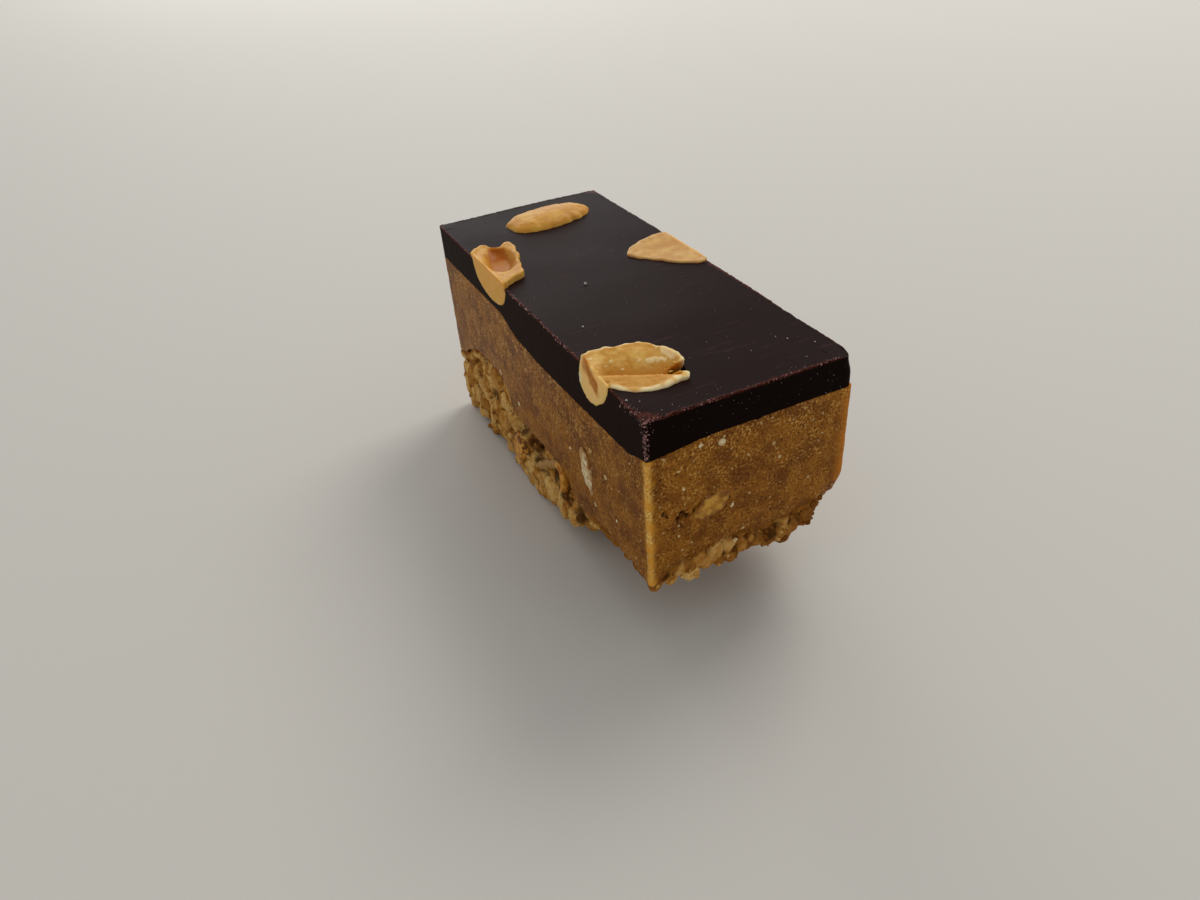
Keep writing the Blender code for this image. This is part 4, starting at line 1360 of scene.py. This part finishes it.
# %% Pale crumbs on the chocolate
# Place on the top and half size, in millimetres. The last two are painted highlights: pale bumps where small
# bubbles in the top catch the light.
TOP_CRUMBS = (
    (6.6, -20.7, 0.07), (7.3, -21.6, 0.07), (9.0, -23.5, 0.08), (3.2, -21.7, 0.05), (6.7, -25.3, 0.05),
    (-10.6, -23.2, 0.12), (-9.7, -23.9, 0.06), (-8.8, -26.1, 0.06), (-7.6, -25.8, 0.05), (-3.2, 0.1, 0.2),
    (-7.8, -8.8, 0.12),
)
TOP_DUST = 70
FRONT_DUST = 60
DUST_SIZES = (0.012, 0.03)
draw = random.Random(41)
copies = []
for x, y, size in TOP_CRUMBS:
    copies.append(((x * MM, y * MM, HEIGHT + 0.3 * size * MM), [size * MM] * 3, (0.3, 0.5, x)))
for attempt in range(TOP_DUST):
    x = draw.uniform(-10.5, 9.8) * MM
    y = (-26.6 + 40.0 * draw.random() ** 2.2) * MM
    size = draw.uniform(*DUST_SIZES) * MM
    copies.append(((x, y, chocolate_top(x, y) + 0.4 * size), [size] * 3, (x, y, 0.0)))
for attempt in range(FRONT_DUST):
    x = draw.uniform(-10.6, 10.0) * MM
    z = HEIGHT - draw.uniform(0.3, 3.6) * MM
    size = draw.uniform(*DUST_SIZES) * MM
    copies.append(((x, -LENGTH / 2 - 0.2 * size, z), [size] * 3, (x, z, 0.0)))
strays = join_copies("stray_crumbs", copies, 1)
serve(strays, "peanut")

# %% [markdown]
# ## Materials
# Each finish is a small node tree on the Principled shader. Colours are sRGB hex values turned to linear, and
# the size of every pattern comes from a length in millimetres, read from Object coordinates so that it stays
# in the food. Each tree ends in a stack of tones: every tone is laid over the ones before it by its share.

# %% Helpers for materials
# A Mix node has a socket for the share, and two for colours: the one below and the one laid over it.
SHARE, BELOW, OVER = 0, 6, 7
COLOURS = {"data_type": "RGBA"}
# A Map Range with soft ends.
SOFT = {"interpolation_type": "SMOOTHSTEP"}


def linear(hex_colour):
    """The linear colour of an sRGB hex value."""
    parts = [int(hex_colour[start : start + 2], 16) / 255.0 for start in (1, 3, 5)]
    linear_parts = [part / 12.92 if part <= 0.04045 else ((part + 0.055) / 1.055) ** 2.4 for part in parts]
    return (*linear_parts, 1.0)


def feed(node, inputs):
    """Sets the node's inputs to numbers and colours, or links sockets and other nodes to them."""
    for name, value in inputs.items():
        if isinstance(value, bpy.types.Node):
            value = next(output for output in value.outputs if output.enabled)
        if isinstance(value, bpy.types.NodeSocket):
            node.id_data.links.new(value, node.inputs[name])
        else:
            node.inputs[name].default_value = value


def add_node(tree, kind, inputs=None, **settings):
    """Adds a node of that kind with its settings, and feeds its inputs."""
    node = tree.nodes.new(kind)
    for name, value in settings.items():
        setattr(node, name, value)
    feed(node, inputs or {})
    return node


def start_material(name):
    """A material with its tree, its shader and the Object coordinates."""
    material = bpy.data.materials.new(name)
    material.use_nodes = True
    tree = material.node_tree
    place = add_node(tree, "ShaderNodeTexCoord").outputs["Object"]
    return material, tree, tree.nodes["Principled BSDF"], place


def dress(material, *pieces):
    """Gives the pieces this one material."""
    for piece in pieces:
        piece.data.materials.clear()
        piece.data.materials.append(material)


# %% [markdown]
# ### Honey caramel
# Boiled honey and sugar with ground nut. The cut is satin and sandy: fine pale grains of nut crowd its upper
# part, and dark specks of syrup lie between them. Its upright edges carry painted light: a golden glow with a
# painted highlight on the near one, and an orange glow on the right one, painted for light that comes through.
# Noise of three sizes makes clouds, patches and sand, and the edges are found from the coordinates.

# %% The caramel's patterns
caramel_finish, tree, shader, place = start_material("honey_caramel")
pit_shade_share, crumby = (
    add_node(tree, "ShaderNodeAttribute", attribute_name=name).outputs["Fac"] for name in ("gouge", "crumby")
)
across, along, height = add_node(tree, "ShaderNodeSeparateXYZ", {"Vector": place}).outputs
# Size in millimetres, detail and roughness of the clouds, the patches and the sand.
clouds, patches, sand = (
    add_node(
        tree,
        "ShaderNodeTexNoise",
        {"Vector": place, "Scale": 1 / (size * MM), "Detail": detail, "Roughness": rough},
    )
    for size, detail, rough in ((2.6, 5.0, 0.62), (1.3, 3.0, 0.6), (0.27, 2.0, 0.7))
)
cloudy = add_node(tree, "ShaderNodeMapRange", {"Value": clouds, "From Min": 0.34, "From Max": 0.64}, **SOFT)

# %% Its grains and specks
# Grains of nut are denser towards the top and in patches, and dark specks lie between them.
upward = add_node(
    tree,
    "ShaderNodeMapRange",
    {"Value": height, "From Min": 13 * MM, "From Max": 21 * MM, "To Min": 0.35, "To Max": 0.85},
)
patchy = add_node(
    tree, "ShaderNodeMapRange", {"Value": patches, "From Min": 0.4, "From Max": 0.6, "To Min": 0.15}
)
density = add_node(tree, "ShaderNodeMath", {0: upward, 1: patchy}, operation="MULTIPLY")
grains_seen = add_node(
    tree, "ShaderNodeMapRange", {"Value": sand, "From Min": 0.53, "From Max": 0.62, "To Max": density}, **SOFT
)
specks_seen = add_node(
    tree, "ShaderNodeMapRange", {"Value": sand, "From Min": 0.46, "From Max": 0.36, "To Max": 0.8}, **SOFT
)

# %% Painted light at its edges: a golden glow and a highlight at the near one, an orange glow at the right one
# Across plus along grows away from the near edge, and along minus across from the right one. Along both lie
# bands of painted light with wavy borders. The near one has a painted highlight on its crest, dotted with sand.
EDGE_WAVE = 2.4 * MM
EDGE_START = -WIDTH / 2 - LENGTH / 2
wavy = add_node(tree, "ShaderNodeMath", {0: patches, 1: EDGE_WAVE}, operation="MULTIPLY")
near = add_node(tree, "ShaderNodeMath", {0: across, 1: along}, operation="ADD")
right = add_node(tree, "ShaderNodeMath", {0: along, 1: across}, operation="SUBTRACT")
# Painted glows: golden along the near edge, orange along the right one.
painted_golden_light, painted_orange_glow = (
    add_node(
        tree,
        "ShaderNodeMapRange",
        {
            "Value": add_node(tree, "ShaderNodeMath", {0: away, 1: wavy}, operation="ADD"),
            "From Min": EDGE_START + fade * MM,
            "From Max": EDGE_START + full * MM,
            "To Max": 0.9,
        },
        **SOFT,
    )
    for away, fade, full in ((near, 2.2, 1.0), (right, 2.7, 1.1))
)
# A painted highlight along the near edge's crest.
crest_highlight_band = add_node(
    tree,
    "ShaderNodeMapRange",
    {"Value": near, "From Min": EDGE_START + 0.6 * MM, "From Max": EDGE_START + 0.2 * MM},
)
dotted = add_node(
    tree,
    "ShaderNodeMapRange",
    {"Value": sand, "From Min": 0.42, "From Max": 0.62, "To Min": 0.25, "To Max": 0.95},
)
broken_line = add_node(tree, "ShaderNodeMath", {0: dotted, 1: patchy}, operation="MULTIPLY")
painted_crest_highlight = add_node(tree, "ShaderNodeMath", {0: crest_highlight_band, 1: broken_line}, operation="MULTIPLY")

# %% The caramel's finish
# The brown ground, paler in clouds, then the grains and specks, the painted glows and highlight at the edges,
# the crumb that shows through at the bottom, and dark red painted shade in the pits.
CARAMEL_GROUND = "#77430f"
crumb_seen = add_node(tree, "ShaderNodeMath", {0: crumby, 1: grains_seen}, operation="MULTIPLY")
CARAMEL_TONES = (
    (cloudy, "#9e631a"),
    (grains_seen, "#d6a95c"),
    (specks_seen, "#45240a"),
    (painted_golden_light, "#e39c30"),
    (painted_crest_highlight, "#ffd074"),
    (painted_orange_glow, "#cf7d22"),
    (crumb_seen, "#a98450"),
    (pit_shade_share, "#431a0a"),
)
colour = linear(CARAMEL_GROUND)
for share, tone in CARAMEL_TONES:
    colour = add_node(tree, "ShaderNodeMix", {SHARE: share, BELOW: colour, OVER: linear(tone)}, **COLOURS)
bump = add_node(tree, "ShaderNodeBump", {"Height": sand, "Strength": 0.9, "Distance": 0.06 * MM})
feed(shader, {
    "Base Color": colour,
    "Roughness": 0.45,
    "IOR": 1.49,
    "Specular IOR Level": 0.07,
    "Subsurface Weight": 0.2,
    "Subsurface Radius": (1.0, 0.38, 0.1),
    "Subsurface Scale": 0.3 * MM,
    "Normal": bump,
})
dress(caramel_finish, caramel)

# %% [markdown]
# ### Dark chocolate
# Tempered chocolate is almost black with a warm tint. It set against air, so its top is satin with faint
# scuffs from wiping. The cut sides are duller. Their colour is darker than the top's, which is painted shade,
# and the left side's is a little paler than the other sides', which is painted light. The burr that the knife
# broke is reddish brown, partly a painted highlight along the top edge. The way that a face looks tells top
# from side, and stretched noise makes the scuffs and scratches.

# %% The chocolate's patterns
chocolate_finish, tree, shader, place = start_material("dark_chocolate")
burr = add_node(tree, "ShaderNodeAttribute", attribute_name="burr").outputs["Fac"]
normal = add_node(tree, "ShaderNodeNewGeometry").outputs["Normal"]
facing = add_node(tree, "ShaderNodeSeparateXYZ", {"Vector": normal}).outputs
top = add_node(tree, "ShaderNodeMapRange", {"Value": facing["Z"], "From Min": 0.4, "From Max": 0.8})
left = add_node(tree, "ShaderNodeMapRange", {"Value": facing["X"], "From Min": -0.4, "From Max": -0.9})
wiped = add_node(
    tree,
    "ShaderNodeMapping",
    {"Vector": place, "Rotation": (0.0, 0.0, math.radians(-14.0)), "Scale": (0.12, 1.0, 1.0)},
)
dragged = add_node(tree, "ShaderNodeMapping", {"Vector": place, "Scale": (1.0, 1.0, 0.15)})
# Where each noise is read, its size in millimetres, detail and roughness.
haze, scuffs, scratches, fine = (
    add_node(
        tree,
        "ShaderNodeTexNoise",
        {"Vector": where, "Scale": 1 / (size * MM), "Detail": detail, "Roughness": rough},
    )
    for where, size, detail, rough in (
        (place, 5.0, 5.0, 0.6), (wiped, 0.5, 4.0, 0.65), (dragged, 0.18, 3.0, 0.5), (place, 0.25, 2.0, 0.5)
    )
)

# %% The chocolate's finish
scuffed = add_node(tree, "ShaderNodeMapRange", {"Value": scuffs, "From Min": 0.55, "From Max": 0.8}, **SOFT)
hazy = add_node(tree, "ShaderNodeMapRange", {"Value": haze, "From Min": 0.4, "From Max": 0.64}, **SOFT)
scuff = add_node(tree, "ShaderNodeMath", {0: scuffed, 1: hazy}, operation="MULTIPLY")
# Painted shade and light by facing: the sides darker than the top, the left side paler than the others.
top_tone, sides_painted_by_facing = (
    add_node(tree, "ShaderNodeMix", {SHARE: share, BELOW: linear(plain), OVER: linear(marked)}, **COLOURS)
    for share, plain, marked in ((scuff, "#1e0c08", "#4c2f28"), (left, "#110603", "#20100b"))
)
dark = add_node(tree, "ShaderNodeMix", {SHARE: top, BELOW: sides_painted_by_facing, OVER: top_tone}, **COLOURS)
# Reddish brown along the top edge: the burr, and partly a painted highlight of the edge.
uneven = add_node(tree, "ShaderNodeMath", {0: burr, 1: fine}, operation="MULTIPLY")
broken = add_node(tree, "ShaderNodeMapRange", {"Value": uneven, "From Min": 0.32, "From Max": 0.6}, **SOFT)
colour = add_node(tree, "ShaderNodeMix", {SHARE: broken, BELOW: dark, OVER: linear("#5a2a20")}, **COLOURS)
# A Mix node of plain numbers has its two values in sockets 2 and 3.
worn = add_node(tree, "ShaderNodeMapRange", {"Value": scuff, "To Min": 0.46, "To Max": 0.6})
satin = add_node(tree, "ShaderNodeMix", {SHARE: top, 2: 0.6, 3: worn})
grain = add_node(tree, "ShaderNodeMix", {SHARE: top, 2: scratches, 3: fine})
bump = add_node(tree, "ShaderNodeBump", {"Height": grain, "Strength": 0.5, "Distance": 0.015 * MM})
feed(shader, {
    "Base Color": colour,
    "Roughness": satin,
    "IOR": 1.46,
    "Specular IOR Level": 0.03,
    "Normal": bump,
})
dress(chocolate_finish, chocolate)

# %% [markdown]
# ### Chocolate shavings
# A fresh break in chocolate is redder than the slab, and the pale pink that noise gives some shavings is
# painted glints. Noise of about a shaving's size gives each its own tone.

# %% The burr's finish
burr_finish, tree, shader, place = start_material("chocolate_shavings")
mixed = add_node(tree, "ShaderNodeTexNoise", {"Vector": place, "Scale": 1 / (0.3 * MM), "Detail": 2.0})
painted_glints = add_node(tree, "ShaderNodeMapRange", {"Value": mixed, "From Min": 0.44, "From Max": 0.62})
# Pale pink: painted glints.
colour = add_node(
    tree, "ShaderNodeMix", {SHARE: painted_glints, BELOW: linear("#2b110b"), OVER: linear("#b58176")}, **COLOURS
)
feed(shader, {"Base Color": colour, "Roughness": 0.45, "IOR": 1.46})
dress(burr_finish, shavings)

# %% [markdown]
# ### Baked crumb
# Oats and biscuit baked with syrup: lumps from burnt sugar through tan to pale oats, each with its own tone,
# and moist gaps between them that are darkened with painted shade. The tone that each lump was given is
# shifted by clouds of noise, so that no lump is of one colour.

# %% The crumb's finish
crumb_finish, tree, shader, place = start_material("baked_crumb")
gap, tone, syrup = (
    add_node(tree, "ShaderNodeAttribute", attribute_name=name).outputs["Fac"]
    for name in ("gap", "tone", "syrup")
)
clouds, fine = (
    add_node(
        tree,
        "ShaderNodeTexNoise",
        {"Vector": place, "Scale": 1 / (size * MM), "Detail": detail, "Roughness": rough},
    )
    for size, detail, rough in ((0.9, 4.0, 0.65), (0.24, 3.0, 0.7))
)
shifted = add_node(
    tree,
    "ShaderNodeMapRange",
    {"Value": clouds, "From Min": 0.3, "From Max": 0.7, "To Min": -0.3, "To Max": 0.3},
)
uneven, soaked = (
    add_node(tree, "ShaderNodeMath", {0: share, 1: shifted}, operation="ADD") for share in (tone, syrup)
)
# Each share of the crumb's tones rises over its own part of the range.
tan, pale, honeyed = (
    add_node(tree, "ShaderNodeMapRange", {"Value": value, "From Min": low, "From Max": high})
    for value, low, high in ((uneven, 0.0, 0.5), (uneven, 0.5, 1.0), (soaked, 0.1, 0.7))
)
flecked = add_node(
    tree, "ShaderNodeMapRange", {"Value": fine, "From Min": 0.56, "From Max": 0.7, "To Max": 0.32}, **SOFT
)
# Dark in the gaps between lumps and in the hollows: painted shade.
deep = add_node(
    tree, "ShaderNodeMapRange", {"Value": gap, "From Min": -0.05, "From Max": 0.7, "To Max": 0.95}, **SOFT
)
CRUMB_GROUND = "#7a4817"
CRUMB_TONES = (
    (tan, "#b37931"),
    (pale, "#dcb168"),
    (flecked, "#e2c282"),
    (honeyed, "#8f591f"),
    (deep, "#42240b"),
)
colour = linear(CRUMB_GROUND)
for share, over in CRUMB_TONES:
    colour = add_node(tree, "ShaderNodeMix", {SHARE: share, BELOW: colour, OVER: linear(over)}, **COLOURS)
moist = add_node(tree, "ShaderNodeMapRange", {"Value": deep, "To Min": 0.65, "To Max": 0.5})
bump = add_node(tree, "ShaderNodeBump", {"Height": fine, "Strength": 0.9, "Distance": 0.06 * MM})
feed(shader, {
    "Base Color": colour,
    "Roughness": moist,
    "IOR": 1.48,
    "Specular IOR Level": 0.03,
    "Subsurface Weight": 0.15,
    "Subsurface Radius": (1.0, 0.5, 0.2),
    "Subsurface Scale": 0.3 * MM,
    "Normal": bump,
})
dress(crumb_finish, base, cobbles, crumbs, grains)

# %% [markdown]
# ### Roasted peanut
# A roasted half is golden inside and cream at its rim, where it dried paler and where a highlight is painted,
# and deeper gold low in its inner face, which is painted shade. Its oil gives a soft shine. The knife's cut is
# brighter, and the stains on it deeper. The nuts are of one kind, so they share one tree, and each is
# multiplied by a tint of its own.

# %% The peanuts' finish
# How each nut as a whole differs in tone from the front one.
TINTS = {
    "peanut_front": "#fcfcfc",
    "peanut_left": "#e6d296",
    "peanut_back": "#ecd9a4",
    "peanut_right": "#e6dedc",
}
NUT_GROUND = "#d49a40"


def roast(name, tint):
    """The finish of a roasted half of that tint."""
    finish, tree, shader, place = start_material("roasted_" + name)
    rim, deep, cut, stain = (
        add_node(tree, "ShaderNodeAttribute", attribute_name=part).outputs["Fac"]
        for part in ("rim", "deep", "cut", "stain")
    )
    clouds, fine = (
        add_node(
            tree,
            "ShaderNodeTexNoise",
            {"Vector": place, "Scale": 1 / (size * MM), "Detail": detail, "Roughness": rough},
        )
        for size, detail, rough in ((1.8, 4.0, 0.6), (0.22, 3.0, 0.7))
    )
    cloudy = add_node(
        tree, "ShaderNodeMapRange", {"Value": clouds, "From Min": 0.38, "From Max": 0.64}, **SOFT
    )
    flecked = add_node(
        tree, "ShaderNodeMapRange", {"Value": fine, "From Min": 0.62, "From Max": 0.75, "To Max": 0.5}, **SOFT
    )
    # The deep tone is painted shade, and the rim tone is partly a painted highlight.
    tones = (
        (cloudy, "#e6b862"),
        (deep, "#c5842a"),
        (cut, "#ffca74"),
        (rim, "#f7dda6"),
        (stain, "#c07418"),
        (flecked, "#f8e6ba"),
    )
    colour = linear(NUT_GROUND)
    for share, tone in tones:
        colour = add_node(tree, "ShaderNodeMix", {SHARE: share, BELOW: colour, OVER: linear(tone)}, **COLOURS)
    tinted = {SHARE: 1.0, BELOW: colour, OVER: linear(tint)}
    colour = add_node(tree, "ShaderNodeMix", tinted, blend_type="MULTIPLY", **COLOURS)
    bump = add_node(tree, "ShaderNodeBump", {"Height": fine, "Strength": 0.5, "Distance": 0.03 * MM})
    feed(shader, {
        "Base Color": colour,
        "Roughness": 0.42,
        "IOR": 1.47,
        "Specular IOR Level": 0.14,
        "Subsurface Weight": 0.4,
        "Subsurface Radius": (1.0, 0.5, 0.18),
        "Subsurface Scale": 1.0 * MM,
        "Normal": bump,
    })
    return finish


for nut, kernel in zip(peanuts, KERNELS):
    dress(roast(kernel["name"], TINTS[kernel["name"]]), nut)

# %% [markdown]
# ### Smaller pieces of nut
# The chips, specks, grains and crumbs of nut are soaked in honey or dusty to different degrees, and the arch
# of caramel has the same soft shine. One tree serves all of them: two tones in clouds, fading into the ground
# that the piece is set in.

# %% The finishes of the smaller nut pieces
def nut_finish(name, dark, light, ground, soft):
    """Nut between two tones that fades to the ground that it is set in, over a soft or a crisp edge."""
    finish, tree, shader, place = start_material(name)
    edge = add_node(tree, "ShaderNodeAttribute", attribute_name="edge").outputs["Fac"]
    clouds = add_node(
        tree,
        "ShaderNodeTexNoise",
        {"Vector": place, "Scale": 1 / (0.9 * MM), "Detail": 4.0, "Roughness": 0.6},
    )
    cloudy = add_node(
        tree, "ShaderNodeMapRange", {"Value": clouds, "From Min": 0.38, "From Max": 0.62}, **SOFT
    )
    faded = add_node(
        tree, "ShaderNodeMapRange", {"Value": edge, "From Min": 1.05 - soft, "From Max": 1.05}, **SOFT
    )
    colour = linear(dark)
    for share, tone in ((cloudy, light), (faded, ground)):
        colour = add_node(tree, "ShaderNodeMix", {SHARE: share, BELOW: colour, OVER: linear(tone)}, **COLOURS)
    feed(shader, {
        "Base Color": colour,
        "Roughness": 0.45,
        "IOR": 1.48,
        "Specular IOR Level": 0.2,
        "Subsurface Weight": 0.2,
        "Subsurface Radius": (1.0, 0.5, 0.2),
        "Subsurface Scale": 0.4 * MM,
    })
    return finish


# Dark and light tone, the ground round the piece, how soft its edge is, and what has this finish.
NUT_FINISHES = {
    "ground_nut": ("#c09658", "#ecd9ae", "#96601f", 0.42, (specks, chips["nut_chip_left"])),
    "honey_soaked_nut": ("#a87022", "#cf9a3c", "#875217", 0.5, (chips["nut_chip_front"],)),
    "honeyed_nut": ("#b8741f", "#dfa040", "#7d4c18", 0.2, (chips["nut_chip_base"],)),
    "set_honey": ("#a8661c", "#de9c3c", "#a87c3c", 0.9, (arch,)),
    "nut_sand": ("#a87c40", "#d4b47c", "#96601f", 0.3, (sand_grains,)),
    "pale_dust": ("#a49c92", "#cfc9c0", "#cfc9c0", 0.3, (strays,)),
}
for name, (dark, light, ground, soft, pieces) in NUT_FINISHES.items():
    dress(nut_finish(name, dark, light, ground, soft), *pieces)

# %% [markdown]
# ## Floor, light and camera
# The slice stands on a plain pale floor in soft daylight that comes mostly from behind it on the right, so
# that the chocolate takes a faint sheen and light comes through the right edge of the caramel, whose orange
# glow is also painted into its colour.

# %% The floor
FLOOR_SIZE = 6.0
floor = add_object(bpy.ops.mesh.primitive_plane_add, "floor", size=FLOOR_SIZE)
floor_finish, tree, shader, place = start_material("pale_floor")
feed(shader, {"Base Color": linear("#c9c4ba"), "Roughness": 0.75})
dress(floor_finish, floor)

# %% [markdown]
# ### Daylight
# A dim, slightly blue sky fills the shadows. A large lamp stands for a window at the back right, and a second
# one for the bright wall that the top of the chocolate mirrors. Large lamps give soft shadows.

# %% The sky and two lamps
SKY_COLOUR = (0.93, 0.96, 1.0, 1.0)
SKY_STRENGTH = 0.55
world = bpy.data.worlds.new("daylight")
bpy.context.scene.world = world
world.use_nodes = True
feed(world.node_tree.nodes["Background"], {"Color": SKY_COLOUR, "Strength": SKY_STRENGTH})


def add_window(name, place, aim, size, power, colour=(1.0, 1.0, 1.0)):
    """A square area light that faces a point."""
    turn = (Vector(place) - Vector(aim)).to_track_quat("Z", "Y").to_euler()
    lamp = add_object(bpy.ops.object.light_add, name, type="AREA", location=place, rotation=turn)
    lamp.data.size = size
    lamp.data.energy = power
    lamp.data.color = colour


add_window("window_right", (0.5, 0.26, 0.62), (0.0, 0.0, 0.01), 0.4, 2.8, (1.0, 0.98, 0.95))
add_window("bright_wall_behind", (0.15, 0.75, 0.3), (0.05, 0.4, 0.0), 0.5, 1.5)

# %% [markdown]
# ### The camera
# It stands above the near left corner, close, with a wide lens, so that the slice narrows strongly towards
# its far end. Its place, turn and lens were fitted to the edges of the block, in metres, degrees and
# millimetres.

# %% A close, wide view
CAMERA_PLACE = (-0.039067, -0.080641, 0.066560)
CAMERA_TURN = (54.927, 3.636, -26.617)
LENS = 26.52
SENSOR_WIDTH = 36.0
turn = [math.radians(angle) for angle in CAMERA_TURN]
camera = add_object(bpy.ops.object.camera_add, "Camera", location=CAMERA_PLACE, rotation=turn)
camera.data.lens = LENS
camera.data.sensor_width = SENSOR_WIDTH
camera.data.clip_start = 0.005
camera.data.clip_end = 20.0
bpy.context.scene.camera = camera
bpy.context.scene.view_settings.view_transform = "Standard"
